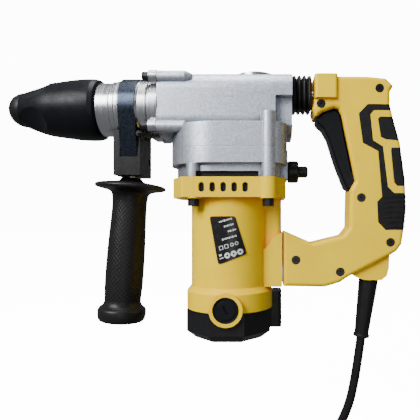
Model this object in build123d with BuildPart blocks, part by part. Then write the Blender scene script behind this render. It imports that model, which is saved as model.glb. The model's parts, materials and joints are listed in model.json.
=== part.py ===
"""Corded L-shaped demolition hammer with a D-handle, a side handle and its mains lead.

Millimetres, +Z up, +X towards the rear handle and -X towards the tool bit.
The origin is the centre of the rear D-handle's grip.
"""
import math
import os

from build123d import *

os.makedirs("parts", exist_ok=True)

# ---------------------------------------------------------------- driving dimensions
AXIS_Z = 52.0             # height of the barrel axis
MOTOR_X = -140.0          # place of the vertical motor axis
CRANK_X = -116.0          # place of the vertical crank axis
INTER_X = -165.0          # place of the vertical intermediate shaft, also the bevel apex

NOSE_X = -345.5           # front end of the dust cap
SEAM_CAP_X = -332.5       # seam between the dust cap and the locking sleeve
SLEEVE_REAR_X = -259.2    # rear edge of the locking sleeve
SLEEVE_R = 28.5           # largest radius of the locking sleeve
TUBE_R = 24.7             # front tube
BAND_X = -230.3           # middle of the clamp band
BAND_R = 27.0             # seat of the clamp band
BAND_T = 1.4
BAND_WIDTH = 14.8
STRAP_FOOT = (18.6, -46.0)  # outer bottom corner of the strap, from the barrel axis
FLANGE_X = -209.7         # front face of the front flange
HOUSING_X = -202.8        # joint between front housing and gear housing
REAR_FACE_X = -82.0       # rear face of the gear housing
BARREL_HALF_W = 28.5
BARREL_TOP = 30.0         # above the barrel axis
BARREL_BOTTOM = 28.0      # below the barrel axis
PANEL_TOP_Z = 67.5        # upper edge of the raised panel on each side of the gear housing
PANEL_REAR_X = -98.5
PANEL_PROUD = 2.3
CAP_R = 19.0              # oil cap
CAP_SUNK = 2.4            # how far its rim is let into the housing

CASE_SEAM_Z = 11.6        # seam between gear housing and crankcase base
CASE_TOP_Z = 33.0
CASE_FRONT_X = -194.0
CASE_REAR_X = -87.0
CASE_HALF_W = 42.0
BASE_Z = -14.6            # joint between crankcase base and motor housing
COLLAR_Z = -32.2          # underside of the motor collar
MOTOR_R = 36.0
LIP_R = 40.0
LIP_Z = -117.0
BRUSH_Z = -129.6
CAP_SEAM_Z = -133.0
CAP_BOTTOM_Z = -160.0
CAP_CORNER_R = 41.2       # corners of the eight-sided tail cap
WALL = 3.0

BORE_R = 5.05             # socket for a 10 mm bit shank
CYLINDER_R = 12.5         # cylinder in the rear half of the spindle
SPINDLE_R = 15.5
NECK_R = 13.5
CRANK_THROW = 8.0
ROD_LENGTH = 44.0
GEAR_MODULE = 1.0
PINION_TEETH = 9
CRANK_TEETH = 39
INTER_TEETH = 41
BEVEL_MODULE = 1.25
BEVEL_PINION_TEETH = 11
BEVEL_RING_TEETH = 36
BEVEL_FACE = 4.5
RUN = 0.05                # radial clearance of running fits

HANDLE_HALF_W = 16.5
HANDLE_WALL = 3.0
HANDLE_ROUND = 4.0        # rounding of the handle's long edges
HANDLE_FRONT_X = -90.2    # seam between the lower arm and the motor's stub
PIVOT = (-84.0, -100.6)   # x and z of the lower handle pivot
GUIDE_Z = 66.0            # height of the upper guide rod inside the bellows
TRIGGER_PIVOT = (-19.6, -12.0)
TRIGGER_HALF_W = 11.0

SIDE_TILT = 4.15          # lean of the side handle, degrees
SIDE_TOP = (-232.6, 0.0)  # a point of the side handle's axis, x and z
DEPTH_ROD = (12.6, 4.0)   # y and z of the depth rod's hole through the clamp block
DEPTH_ROD_R = 3.2
CORD_D = 8.5
RELIEF_TOP = (-8.5, -107.6)
RELIEF_TILT = 7.4         # lean of the strain relief, degrees
RELIEF_LENGTH = 55.0

BARREL_AXIS = Axis((0, 0, AXIS_Z), (1, 0, 0))
MOTOR_AXIS = Axis((MOTOR_X, 0, 0), (0, 0, 1))
CRANK_AXIS = Axis((CRANK_X, 0, 0), (0, 0, 1))
INTER_AXIS = Axis((INTER_X, 0, 0), (0, 0, 1))
SIDE_PLANE = Plane.XZ                                    # local x is X, local y is Z
BARREL_PLANE = Plane(origin=(0, 0, AXIS_Z), x_dir=(1, 0, 0), z_dir=(0, -1, 0))


def side_plane(y):
    """A plane across the tool at one Y, looking towards +Y."""
    return Plane(origin=(0, y, 0), x_dir=(1, 0, 0), z_dir=(0, -1, 0))


def across(x):
    """A plane square to the barrel; local x is Y and local y is height over the axis."""
    return Plane(origin=(x, 0, AXIS_Z), x_dir=(0, 1, 0), z_dir=(1, 0, 0))


def upright(axis_x):
    """The side plane with its origin on a vertical axis, for turned pieces."""
    return Plane(origin=(axis_x, 0, 0), x_dir=(1, 0, 0), z_dir=(0, -1, 0))


def level(z):
    return Plane.XY.offset(z)


def save(piece, name):
    piece.part.label = name
    export_step(piece.part, f"parts/{name}.step")


def turned(outline, plane, axis):
    """A solid of revolution from a closed outline of (along, radius) or (radius, height)."""
    with BuildPart() as piece:
        with BuildSketch(plane):
            with BuildLine():
                Polyline(*outline, close=True)
            make_face()
        revolve(axis=axis)
    return piece


def ring_x(x0, x1, inner, outer):
    return turned([(x0, inner), (x1, inner), (x1, outer), (x0, outer)], BARREL_PLANE, BARREL_AXIS)


def ring_z(axis_x, z0, z1, inner, outer):
    axis = Axis((axis_x, 0, 0), (0, 0, 1))
    return turned([(inner, z0), (outer, z0), (outer, z1), (inner, z1)], upright(axis_x), axis)


# ---------------------------------------------------------------- chuck
def dust_cap():
    """The rubber nose ring, clipped over the front of the spindle."""
    with BuildPart() as piece:
        with BuildSketch(BARREL_PLANE):
            with BuildLine():
                Polyline((NOSE_X, 6.5), (NOSE_X, 8.5))
                Spline((NOSE_X, 8.5), (-342.0, 12.6), (SEAM_CAP_X - 0.3, 16.0))
                Polyline((SEAM_CAP_X - 0.3, 16.0), (SEAM_CAP_X - 0.3, 11.6), (-341.6, 11.6),
                         (-341.6, 6.5), (NOSE_X, 6.5))
            make_face()
        revolve(axis=BARREL_AXIS)
    return piece


def lock_sleeve():
    """The sleeve that is pulled back to free the bit, with scooped finger flats at its nose."""
    with BuildPart() as piece:
        with BuildSketch(BARREL_PLANE):
            with BuildLine():
                Spline((SEAM_CAP_X, 16.0), (-322.2, 20.2), (-308.5, 24.4), (-297.9, 26.0),
                       (-284.0, 27.8), (-265.0, SLEEVE_R))
                Polyline((-265.0, SLEEVE_R), (-261.1, 27.6), (SLEEVE_REAR_X, 25.2),
                         (-288.0, 25.2), (-288.0, 17.2), (-316.0, 17.2), (-316.0, NECK_R + 0.3),
                         (SEAM_CAP_X, NECK_R + 0.3), (SEAM_CAP_X, 16.0))
            make_face()
        revolve(axis=BARREL_AXIS)
        for turn in range(4):
            angle = 90 * turn + 38
            scoop_axis = Vector(0, math.cos(math.radians(angle)), math.sin(math.radians(angle)))
            centre = Vector(-335.0, 0, AXIS_Z) + scoop_axis * 36.5
            with BuildSketch(Plane(origin=centre, x_dir=(1, 0, 0), z_dir=scoop_axis.cross(Vector(1, 0, 0)))):
                Ellipse(36.0, 20.8)
            extrude(amount=30, both=True, mode=Mode.SUBTRACT)
    return piece


def spindle():
    """The turning tube: cylinder behind, impact bolt guide in the middle, bit socket in front."""
    outline = [(-341.4, BORE_R), (-341.4, 11.4), (-332.4, 11.4), (-332.4, NECK_R), (-291.6, NECK_R),
               (-291.6, 16.6), (-290.0, 16.6), (-290.0, NECK_R), (-232.0, NECK_R),
               (-232.0, SPINDLE_R), (-152.0, SPINDLE_R), (-152.0, CYLINDER_R), (-226.0, CYLINDER_R),
               (-226.0, 8.1), (-262.0, 8.1), (-262.0, BORE_R)]
    with BuildPart() as piece:
        add(turned(outline, BARREL_PLANE, BARREL_AXIS).part)
        with Locations(Plane(origin=(-306, 0, AXIS_Z), x_dir=(1, 0, 0), z_dir=(0, 1, 0))):
            Cylinder(3.6, 60, mode=Mode.SUBTRACT)
    return piece


def locking_balls():
    with BuildPart() as piece:
        for side in (-1, 1):
            with Locations((-306, side * 9.2, AXIS_Z)):
                Sphere(3.5)
    return piece


def helix_spring(start, turns, pitch, radius, wire, direction):
    """A round-wire coil spring along a direction."""
    with BuildPart() as piece:
        with BuildLine() as path:
            Helix(pitch=pitch, height=pitch * turns, radius=radius, center=start, direction=direction)
        with BuildSketch(Plane(origin=path.line @ 0, z_dir=path.line % 0)):
            Circle(wire / 2)
        sweep(is_frenet=True)
    return piece


# ---------------------------------------------------------------- gears
def gear_face(teeth, module, turn, scale=1.0):
    """Tooth outline of a spur gear with thinned straight flanks, which leave backlash."""
    pitch = 2 * math.pi / teeth
    root_r = (teeth / 2 - 1.1) * module * scale
    tip_r = (teeth / 2 + 0.75) * module * scale
    points = []
    for tooth in range(teeth):
        middle = pitch * tooth + math.radians(turn)
        for share, radius in ((-0.27, root_r), (-0.10, tip_r), (0.10, tip_r), (0.27, root_r)):
            angle = middle + share * pitch
            points.append((radius * math.cos(angle), radius * math.sin(angle)))
    return points


def spur_gear(axis_x, z0, z1, teeth, turn, bore):
    with BuildPart() as piece:
        with BuildSketch(Plane(origin=(axis_x, 0, z0))):
            with BuildLine():
                Polyline(*gear_face(teeth, GEAR_MODULE, turn), close=True)
            make_face()
            if bore:
                Circle(bore, mode=Mode.SUBTRACT)
        extrude(amount=z1 - z0)
    return piece


CONE_LENGTH = BEVEL_MODULE / 2 * math.hypot(BEVEL_PINION_TEETH, BEVEL_RING_TEETH)
RING_PITCH_R = BEVEL_MODULE * BEVEL_RING_TEETH / 2
BEVEL_PITCH_R = BEVEL_MODULE * BEVEL_PINION_TEETH / 2
FACE_SCALE = 1 - BEVEL_FACE / CONE_LENGTH


def bevel_pinion():
    """Tapered pinion on top of the intermediate shaft; its teeth run to the common apex."""
    with BuildPart() as piece:
        for scale in (1.0, FACE_SCALE):
            height = AXIS_Z - RING_PITCH_R * scale
            with BuildSketch(Plane(origin=(INTER_X, 0, height))):
                with BuildLine():
                    Polyline(*gear_face(BEVEL_PINION_TEETH, BEVEL_MODULE, 0, scale), close=True)
                make_face()
        loft(ruled=True)
        with BuildSketch(level(AXIS_Z - RING_PITCH_R - 2.0)):
            with Locations((INTER_X, 0)):
                Circle(5.4)
        extrude(amount=2.0)
    return piece


def bevel_ring_gear():
    """Ring gear on the spindle; each tooth gap is a taper towards the common apex."""
    lift = 0.75 * BEVEL_MODULE
    outward = Vector(-BEVEL_PITCH_R, 0, -RING_PITCH_R).normalized()
    with BuildPart() as piece:
        with BuildSketch(BARREL_PLANE):
            with BuildLine():
                tip = [(INTER_X - BEVEL_PITCH_R * s + lift * RING_PITCH_R / CONE_LENGTH * s,
                        RING_PITCH_R * s + lift * BEVEL_PITCH_R / CONE_LENGTH * s)
                       for s in (1.0, FACE_SCALE)]
                Polyline(tip[0], tip[1], (tip[1][0] - 1.0, SPINDLE_R), (-181.0, SPINDLE_R),
                         (-181.0, 20.5), (-177.0, RING_PITCH_R), close=True)
            make_face()
        revolve(axis=BARREL_AXIS)
        pitch_width = math.pi * BEVEL_MODULE
        gaps = []
        for gap in range(BEVEL_RING_TEETH):
            angle = 360 / BEVEL_RING_TEETH * (gap + 0.5)
            with BuildPart(mode=Mode.PRIVATE) as cutter:
                for scale in (1.08, FACE_SCALE - 0.1):
                    centre = Vector(INTER_X, 0, AXIS_Z) + outward * (CONE_LENGTH * scale)
                    with BuildSketch(Plane(origin=centre, x_dir=(0, 1, 0), z_dir=outward)):
                        half_root = pitch_width * 0.24 * scale
                        half_tip = pitch_width * 0.42 * scale
                        with BuildLine():
                            Polyline((-half_root, -1.2 * BEVEL_MODULE * scale),
                                     (half_root, -1.2 * BEVEL_MODULE * scale),
                                     (half_tip, 1.1 * BEVEL_MODULE * scale),
                                     (-half_tip, 1.1 * BEVEL_MODULE * scale), close=True)
                        make_face()
                loft(ruled=True)
            gaps.append(cutter.part.rotate(BARREL_AXIS, angle))
        add(gaps, mode=Mode.SUBTRACT)
    return piece


# ---------------------------------------------------------------- hammer mechanism
def piston():
    """Hollow piston, open at the rear where the connecting rod reaches its pin."""
    wrist_x = CRANK_X - CRANK_THROW - ROD_LENGTH
    outline = [(wrist_x - 16, 0), (wrist_x - 16, CYLINDER_R - RUN), (wrist_x + 12, CYLINDER_R - RUN),
               (wrist_x + 12, 9.4), (wrist_x - 8, 9.4), (wrist_x - 8, 0)]
    with BuildPart() as piece:
        add(turned(outline, BARREL_PLANE, BARREL_AXIS).part)
        with Locations(Plane(origin=(wrist_x, 0, AXIS_Z), x_dir=(1, 0, 0), z_dir=(0, 0, 1))):
            Cylinder(3.0, 40, mode=Mode.SUBTRACT)
    return piece


def wrist_pin():
    with BuildPart() as piece:
        with Locations((CRANK_X - CRANK_THROW - ROD_LENGTH, 0, AXIS_Z)):
            Cylinder(3.0, 2 * CYLINDER_R - 1.6)
    return piece


def connecting_rod():
    wrist_x = CRANK_X - CRANK_THROW - ROD_LENGTH
    with BuildPart() as piece:
        with BuildSketch(level(AXIS_Z - 5)):
            with Locations((wrist_x, 0)):
                Circle(6.0)
            with Locations((wrist_x + ROD_LENGTH / 2, 0)):
                Rectangle(ROD_LENGTH, 7.0)
            with Locations((wrist_x + ROD_LENGTH, 0)):
                Circle(9.5)
                Circle(6.2, mode=Mode.SUBTRACT)
            with Locations((wrist_x, 0)):
                Circle(3.0 + RUN, mode=Mode.SUBTRACT)
        extrude(amount=10)
    return piece


def crank_shaft():
    """Crank disc with its shaft and eccentric pin."""
    outline = [(0, -9.0), (6.0 - RUN, -9.0), (6.0 - RUN, 17.6), (16.5, 17.6), (16.5, 25.0), (0, 25.0)]
    with BuildPart() as piece:
        add(turned(outline, upright(CRANK_X), CRANK_AXIS).part)
        with BuildSketch(level(25.0)):
            with Locations((CRANK_X - CRANK_THROW, 0)):
                Circle(5.0)
        extrude(amount=AXIS_Z - 5.4 - 25.0)
    return piece


def intermediate_shaft():
    """Shaft of the intermediate gear, cut in one piece with its bevel pinion."""
    outline = [(0, -9.0), (5.0 - RUN, -9.0), (5.0 - RUN, AXIS_Z - RING_PITCH_R - 2.0),
               (0, AXIS_Z - RING_PITCH_R - 2.0)]
    with BuildPart() as piece:
        add(turned(outline, upright(INTER_X), INTER_AXIS).part)
        add(bevel_pinion().part)
    return piece


def striker():
    outline = [(-216, 0), (-216, 7.5), (-213, CYLINDER_R - RUN), (-204, CYLINDER_R - RUN), (-204, 10.6),
               (-201, 10.6), (-201, CYLINDER_R - RUN), (-190, CYLINDER_R - RUN), (-190, 0)]
    return turned(outline, BARREL_PLANE, BARREL_AXIS)


def impact_bolt():
    outline = [(-258, 0), (-258, 4.6), (-254, 4.6), (-252, 8.05), (-238, 8.05), (-236, 6.0),
               (-231, 6.0), (-231, 0)]
    return turned(outline, BARREL_PLANE, BARREL_AXIS)


# ---------------------------------------------------------------- bearings and seals
def ball_bearing_z(axis_x, z0, height, bore, outer, balls):
    """Two races and their balls on a vertical axis."""
    middle = (bore + outer) / 2
    ball_r = (outer - bore) * 0.2
    with BuildPart() as piece:
        add(ring_z(axis_x, z0, z0 + height, bore, middle - ball_r - 0.05).part)
        add(ring_z(axis_x, z0, z0 + height, middle + ball_r + 0.05, outer).part)
        with Locations((axis_x, 0, z0 + height / 2)):
            with PolarLocations(middle, balls):
                Sphere(ball_r)
    return piece


def motor_bearings():
    """Ball bearings at both ends of the armature."""
    with BuildPart() as piece:
        add(ball_bearing_z(MOTOR_X, -151.5, 7.0, 4.0, 11.0, 7).part)
        add(ball_bearing_z(MOTOR_X, -14.0, 9.0, 6.0, 14.0, 9).part)
    return piece


def gear_shaft_bearings():
    """Needle bearings below and bushes above for the crank and intermediate shafts."""
    with BuildPart() as piece:
        add(ball_bearing_z(CRANK_X, -9.0, 7.0, 6.0, 9.0, 14).part)
        add(ball_bearing_z(INTER_X, -9.0, 7.0, 5.0, 9.0, 12).part)
        add(ring_z(CRANK_X, CASE_SEAM_Z, CASE_SEAM_Z + 5.4, 6.0, 8.5).part)
        add(ring_z(INTER_X, CASE_SEAM_Z, CASE_SEAM_Z + 5.4, 5.0, 8.5).part)
    return piece


def spindle_bearings():
    """Ball bearing behind the ring gear's shoulder and plain bush in the front tube."""
    with BuildPart() as piece:
        add(ball_bearing_x(-201.0, 10.0, SPINDLE_R + RUN, 25.0, 20).part)
        add(ring_x(-258.0, -244.0, NECK_R + RUN, 21.0).part)
    return piece


def ball_bearing_x(x0, width, bore, outer, balls):
    """Two races and their balls on the barrel axis."""
    middle = (bore + outer) / 2
    ball_r = (outer - bore) * 0.2
    with BuildPart() as piece:
        add(ring_x(x0, x0 + width, bore, middle - ball_r - 0.05).part)
        add(ring_x(x0, x0 + width, middle + ball_r + 0.05, outer).part)
        with Locations(across(x0 + width / 2)):
            with PolarLocations(middle, balls):
                Sphere(ball_r)
    return piece


# ---------------------------------------------------------------- castings
def case_plan(grow=0.0):
    """Plan of the crankcase, seen from above: round in front, squarer behind."""
    front_r = CASE_HALF_W + grow
    front_centre = CASE_FRONT_X - grow + front_r
    with BuildSketch() as plan:
        with Locations((front_centre, 0)):
            Circle(front_r)
        with Locations(((front_centre + CASE_REAR_X + grow) / 2, 0)):
            Rectangle(CASE_REAR_X + grow - front_centre, 2 * front_r)
        fillet(plan.vertices().group_by(Axis.X)[-1], 16 + grow)
    return plan.sketch


UPPER_BOLTS = [(-25.0, 24.0), (25.0, 24.0)]
LOWER_BOLTS = [(-27.0, -20.6), (27.0, -20.6)]
FRONT_BOLTS = UPPER_BOLTS + LOWER_BOLTS
BASE_BOLTS = [(-169.0, -33.5), (-169.0, 33.5), (-103.5, -37.0), (-103.5, 37.0)]


def gear_housing():
    """Aluminium casting around the hammer mechanism, open in front and below."""
    with BuildPart() as piece:
        with BuildSketch(across(HOUSING_X)):
            with Locations((0, (BARREL_TOP - BARREL_BOTTOM) / 2)):
                RectangleRounded(2 * BARREL_HALF_W, BARREL_TOP + BARREL_BOTTOM, 17)
        extrude(amount=REAR_FACE_X - HOUSING_X)
        for side in (-1, 1):
            with BuildSketch(side_plane(side * BARREL_HALF_W)):
                with Locations((-140.0, 62.0)):
                    Rectangle(140.0, 58.0)
                with Locations(((HOUSING_X + PANEL_REAR_X) / 2 - 20.0, (PANEL_TOP_Z + 20.0) / 2)):
                    RectangleRounded(PANEL_REAR_X - HOUSING_X + 40.0, PANEL_TOP_Z - 20.0, 11.0,
                                     mode=Mode.SUBTRACT)
            extrude(amount=-PANEL_PROUD * side, mode=Mode.SUBTRACT)
        with BuildSketch(level(CASE_SEAM_Z)):
            add(case_plan())
        extrude(amount=CASE_TOP_Z - CASE_SEAM_Z)
        with BuildSketch(level(CASE_SEAM_Z)):
            with Locations(*[(x, y) for x, y in BASE_BOLTS if x > MOTOR_X]):
                Circle(7.0)
        extrude(amount=30.0)
        for y, z in FRONT_BOLTS:
            with Locations(Plane(origin=(HOUSING_X, y, AXIS_Z + z), z_dir=(1, 0, 0))):
                Cylinder(5.4, 25, align=(Align.CENTER, Align.CENTER, Align.MIN))
            with Locations(Plane(origin=(HOUSING_X + 25, y, AXIS_Z + z), z_dir=(1, 0, 0))):
                Cone(5.4, 2.8, 6, align=(Align.CENTER, Align.CENTER, Align.MIN))
        with Locations(Plane(origin=(HOUSING_X, 0, AXIS_Z), z_dir=(1, 0, 0))):
            Cylinder(25.0, 104, align=(Align.CENTER, Align.CENTER, Align.MIN), mode=Mode.SUBTRACT)
        with BuildSketch(level(CASE_SEAM_Z)):
            add(case_plan(-4.0))
        extrude(amount=CASE_TOP_Z - CASE_SEAM_Z - 4.0, mode=Mode.SUBTRACT)
        with BuildSketch(level(CASE_SEAM_Z)):
            with Locations((CRANK_X, 0)):
                Circle(22.0)
        extrude(amount=AXIS_Z + 12 - CASE_SEAM_Z, mode=Mode.SUBTRACT)
        with BuildSketch(level(AXIS_Z)):
            with Locations((CRANK_X, 0)):
                Circle(14.0)
        extrude(amount=BARREL_TOP + 5, mode=Mode.SUBTRACT)
        with BuildSketch(level(AXIS_Z + BARREL_TOP - CAP_SUNK)):
            with Locations((CRANK_X, 0)):
                Circle(CAP_R)
        extrude(amount=5.0, mode=Mode.SUBTRACT)
        for side in (-1, 1):
            with Locations((-88.0, side * 32.0, 46.0)):
                Box(18.0, 24.0, 26.0, mode=Mode.SUBTRACT)
        for y, z in FRONT_BOLTS:
            with Locations(Plane(origin=(HOUSING_X, y, AXIS_Z + z), z_dir=(1, 0, 0))):
                Cylinder(2.5, 22, align=(Align.CENTER, Align.CENTER, Align.MIN), mode=Mode.SUBTRACT)
        with BuildSketch(level(CASE_SEAM_Z)):
            with Locations(*BASE_BOLTS):
                Circle(2.5)
        extrude(amount=12.0, mode=Mode.SUBTRACT)
    return piece


def crankcase_base():
    """Lower half of the crankcase, with the floor that carries the motor bearing."""
    with BuildPart() as piece:
        with BuildSketch(level(-2.5)):
            add(case_plan())
        extrude(amount=CASE_SEAM_Z + 2.5)
        with BuildSketch(level(BASE_Z)):
            add(case_plan(-5.0))
        extrude(amount=-2.5 - BASE_Z)
        with BuildSketch(level(BASE_Z)):
            with Locations(*BASE_BOLTS):
                Circle(6.5)
        extrude(amount=-2.5 - BASE_Z)
        with BuildSketch(level(BASE_Z)):
            with Locations(*[(x, y) for x, y in BASE_BOLTS if x > MOTOR_X]):
                Circle(7.0)
        extrude(amount=CASE_SEAM_Z - BASE_Z)
        with BuildSketch(level(BASE_Z)):
            with Locations((-95.0, 0)):
                Rectangle(18.0, 34.0)
        extrude(amount=CASE_SEAM_Z - BASE_Z)
        with BuildSketch(level(-6.0)):
            add(case_plan(-6.5))
        extrude(amount=30.0, mode=Mode.SUBTRACT)
        with BuildSketch(level(BASE_Z)):
            with Locations((MOTOR_X, 0)):
                Circle(14.0)
        extrude(amount=10.0, mode=Mode.SUBTRACT)
        with BuildSketch(level(-12.0)):
            with Locations((CRANK_X, 0), (INTER_X, 0)):
                Circle(9.0)
        extrude(amount=10.0, mode=Mode.SUBTRACT)
        for y in (-1, 1):
            with Locations((-139.0, y * 40.0, -12.0)):
                Box(54.0, 16.0, 5.2, mode=Mode.SUBTRACT)
        with BuildSketch(level(BASE_Z)):
            with Locations(*BASE_BOLTS):
                Circle(2.6)
        extrude(amount=30.0, mode=Mode.SUBTRACT)
        with Locations(Plane(origin=(-104.0, 0, -6.4), z_dir=(1, 0, 0))):
            Cylinder(3.6, 30, align=(Align.CENTER, Align.CENTER, Align.MIN), mode=Mode.SUBTRACT)
    return piece


def bearing_plate():
    """Plate at the crankcase seam that carries the upper ends of the gear shafts."""
    with BuildPart() as piece:
        with BuildSketch(level(CASE_SEAM_Z)):
            add(case_plan(-6.6))
            with Locations((CRANK_X, 0), (INTER_X, 0)):
                Circle(8.5, mode=Mode.SUBTRACT)
            with Locations((MOTOR_X, 0)):
                Circle(6.5, mode=Mode.SUBTRACT)
            with Locations(*BASE_BOLTS):
                Circle(2.6, mode=Mode.SUBTRACT)
        extrude(amount=5.4)
    return piece


def front_housing():
    """Front tube, flare, clamp seat and bolted flange in one casting."""
    profile = [(-276.5, 21.0), (-276.5, TUBE_R), (-247.7, TUBE_R), (-246.5, 25.8), (-243.0, 25.8),
               (-242.0, 26.6), (-239.0, 26.6), (-238.4, BAND_R), (-222.2, BAND_R), (-221.0, 26.4),
               (-214.0, 26.4), (-212.0, 28.0), (FLANGE_X, 28.0), (FLANGE_X, 29.5), (HOUSING_X, 29.5),
               (HOUSING_X, 21.0)]
    with BuildPart() as piece:
        add(turned(profile, BARREL_PLANE, BARREL_AXIS).part)
        with BuildSketch(across(FLANGE_X)):
            with Locations(*FRONT_BOLTS):
                Circle(6.0)
            Circle(21.5, mode=Mode.SUBTRACT)
        extrude(amount=HOUSING_X - FLANGE_X)
        with BuildSketch(across(FLANGE_X - 5)):
            with Locations(*FRONT_BOLTS):
                Circle(2.6)
        extrude(amount=15, mode=Mode.SUBTRACT)
    return piece


def front_bolts():
    """Four socket-head bolts through the front flange."""
    with BuildPart() as piece:
        with BuildSketch(across(FLANGE_X - 6.0)):
            with Locations(*FRONT_BOLTS):
                Circle(4.4)
        extrude(amount=6.0)
        with BuildSketch(across(FLANGE_X - 6.0)):
            with Locations(*FRONT_BOLTS):
                RegularPolygon(2.2, 6)
        extrude(amount=3.2, mode=Mode.SUBTRACT)
        with BuildSketch(across(FLANGE_X)):
            with Locations(*FRONT_BOLTS):
                Circle(2.45)
        extrude(amount=25.0)
    return piece


def oil_cap():
    """Domed grease cap over the crank."""
    top = AXIS_Z + BARREL_TOP
    dome = 3.6
    dome_r = (CAP_R ** 2 + dome ** 2) / (2 * dome)
    dome_angle = math.degrees(math.asin(CAP_R / dome_r))
    with BuildPart() as piece:
        with BuildSketch(upright(CRANK_X)):
            with BuildLine():
                Polyline((0, top - 5), (14.0, top - 5), (14.0, top - CAP_SUNK), (CAP_R, top - CAP_SUNK),
                         (CAP_R, top + 1.0))
                CenterArc((0, top + 1.0 + dome - dome_r), dome_r, 90 - dome_angle, dome_angle)
                Line((0, top + 1.0 + dome), (0, top - 5))
            make_face()
        revolve(axis=CRANK_AXIS)
    return piece


# ---------------------------------------------------------------- motor
def collar_plan(grow=0.0):
    """Plan of the motor collar: straight near sides and bevelled front corners."""
    half = CASE_HALF_W - 1.0 + grow
    with BuildSketch() as plan:
        with BuildLine():
            Polyline((-190.0 - grow, -18), (-178.0, -half), (-98.0, -half), (-88.0 + grow, -25),
                     (-88.0 + grow, 25), (-98.0, half), (-178.0, half), (-190.0 - grow, 18), close=True)
        make_face()
        fillet(plan.vertices(), 3.0)
    return plan.sketch


def brush_face(side, y):
    """Plane across a brush holder, facing away from the motor's axis."""
    return Plane(origin=(MOTOR_X, side * y, BRUSH_Z), x_dir=(1, 0, 0), z_dir=(0, side, 0))


def motor_casing():
    """Yellow housing with its vented collar, the rear duct and the stub for the lower arm."""
    outer = [(0, LIP_Z - 16), (LIP_R, LIP_Z - 16), (LIP_R, LIP_Z), (MOTOR_R, LIP_Z + 5),
             (MOTOR_R, COLLAR_Z), (0, COLLAR_Z)]
    with BuildPart() as piece:
        add(turned(outer, upright(MOTOR_X), MOTOR_AXIS).part)
        with BuildSketch(level(COLLAR_Z)):
            add(collar_plan())
        extrude(amount=BASE_Z - COLLAR_Z)
        with BuildSketch(level(COLLAR_Z + 4.0)):
            with Locations((-196.0, 0)):
                Rectangle(12.0, 100.0)
        extrude(amount=-8.0, mode=Mode.SUBTRACT)
        with BuildSketch(level(-113.0)):
            with Locations((-106.0, 0)):
                RectangleRounded(29.0, 26.0, 5.0)
        extrude(amount=113.0 + COLLAR_Z)
        with BuildSketch(SIDE_PLANE):
            with BuildLine():
                Polyline((-118.0, -113.0), (HANDLE_FRONT_X - 0.8, -113.0), (HANDLE_FRONT_X - 0.8, -63.0),
                         (-99.0, -68.0), (-106.0, -78.0), (-118.0, -78.0), close=True)
            make_face()
        extrude(amount=HANDLE_HALF_W, both=True)
        with BuildSketch(level(COLLAR_Z - 1.0)):
            with Locations(*BASE_BOLTS):
                Circle(7.6)
        extrude(amount=BASE_Z - COLLAR_Z + 1.0)
        with BuildSketch(level(LIP_Z - 40)):
            with Locations((MOTOR_X, 0)):
                Circle(MOTOR_R - WALL)
        extrude(amount=BASE_Z - LIP_Z + 35.0, mode=Mode.SUBTRACT)
        with BuildSketch(level(COLLAR_Z + 4.0)):
            add(collar_plan(-WALL))
            with Locations(*BASE_BOLTS):
                Circle(7.6, mode=Mode.SUBTRACT)
        extrude(amount=BASE_Z - COLLAR_Z, mode=Mode.SUBTRACT)
        with BuildSketch(level(-108.0)):
            with Locations((-102.0, 0)):
                Rectangle(18.0, 20.0)
        extrude(amount=72.0, mode=Mode.SUBTRACT)
        with BuildSketch(SIDE_PLANE):
            for vent in range(5):
                with Locations((-161.0 + 9.4 * vent, -23.5)):
                    SlotOverall(8.4, 4.8, rotation=90)
        extrude(amount=60, both=True, mode=Mode.SUBTRACT)
        with BuildSketch(level(COLLAR_Z - 5.0)):
            with Locations(*BASE_BOLTS):
                Circle(2.6)
        extrude(amount=40.0, mode=Mode.SUBTRACT)
        with Locations((-97.0, 0, PIVOT[1])):
            Box(16.0, 16.0, 11.0, mode=Mode.SUBTRACT)
        with BuildSketch(level(LIP_Z - 40.0)):
            with Locations((MOTOR_X, 0)):
                Circle(60.0)
                Circle(LIP_R + 2, mode=Mode.SUBTRACT)
        extrude(amount=24.0, mode=Mode.SUBTRACT)
    return piece


def motor_housing():
    """Casing, brush bosses and tail bearing spider, moulded as one."""
    with BuildPart() as piece:
        add(motor_casing().part)
        add(motor_cross().part)
        add(ring_z(MOTOR_X, -146.0, CAP_SEAM_Z + 2.0, 30.8, MOTOR_R - WALL - 0.2).part)
        add(ring_z(MOTOR_X, CAP_SEAM_Z, -125.0, 30.8, MOTOR_R - WALL + 0.4).part)
        for side in (-1, 1):
            with BuildSketch(brush_face(side, 32.0)):
                Circle(14.6)
                Circle(11.4, mode=Mode.SUBTRACT)
            extrude(amount=10.6)
        with Locations(Plane(origin=(MOTOR_X, -60, BRUSH_Z), z_dir=(0, 1, 0))):
            Cylinder(11.4, 120, align=(Align.CENTER, Align.CENTER, Align.MIN), mode=Mode.SUBTRACT)
    return piece


def brush_caps():
    """Two slotted screw caps that close the brush holders."""
    with BuildPart() as piece:
        for side in (-1, 1):
            face = brush_face(side, 30.0)
            with BuildSketch(face):
                Circle(11.3)
            extrude(amount=12.0)
            with BuildSketch(face.offset(11.2)):
                Circle(10.2)
                Circle(8.0, mode=Mode.SUBTRACT)
            extrude(amount=1.0, mode=Mode.SUBTRACT)
            with BuildSketch(face.offset(10.2)):
                SlotOverall(8.4, 2.0, rotation=60 * side)
            extrude(amount=3.0, mode=Mode.SUBTRACT)
    return piece


def brush_holders():
    """Brass tubes that guide the carbon brushes."""
    with BuildPart() as piece:
        for side in (-1, 1):
            with BuildSketch(brush_face(side, 15.5)):
                Rectangle(9.4, 13.4)
                Rectangle(7.2, 11.2, mode=Mode.SUBTRACT)
            extrude(amount=14.4)
    return piece


def carbon_brushes():
    with BuildPart() as piece:
        for side in (-1, 1):
            with BuildSketch(brush_face(side, 12.15)):
                Rectangle(7.0, 11.0)
            extrude(amount=15.0)
    return piece


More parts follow.
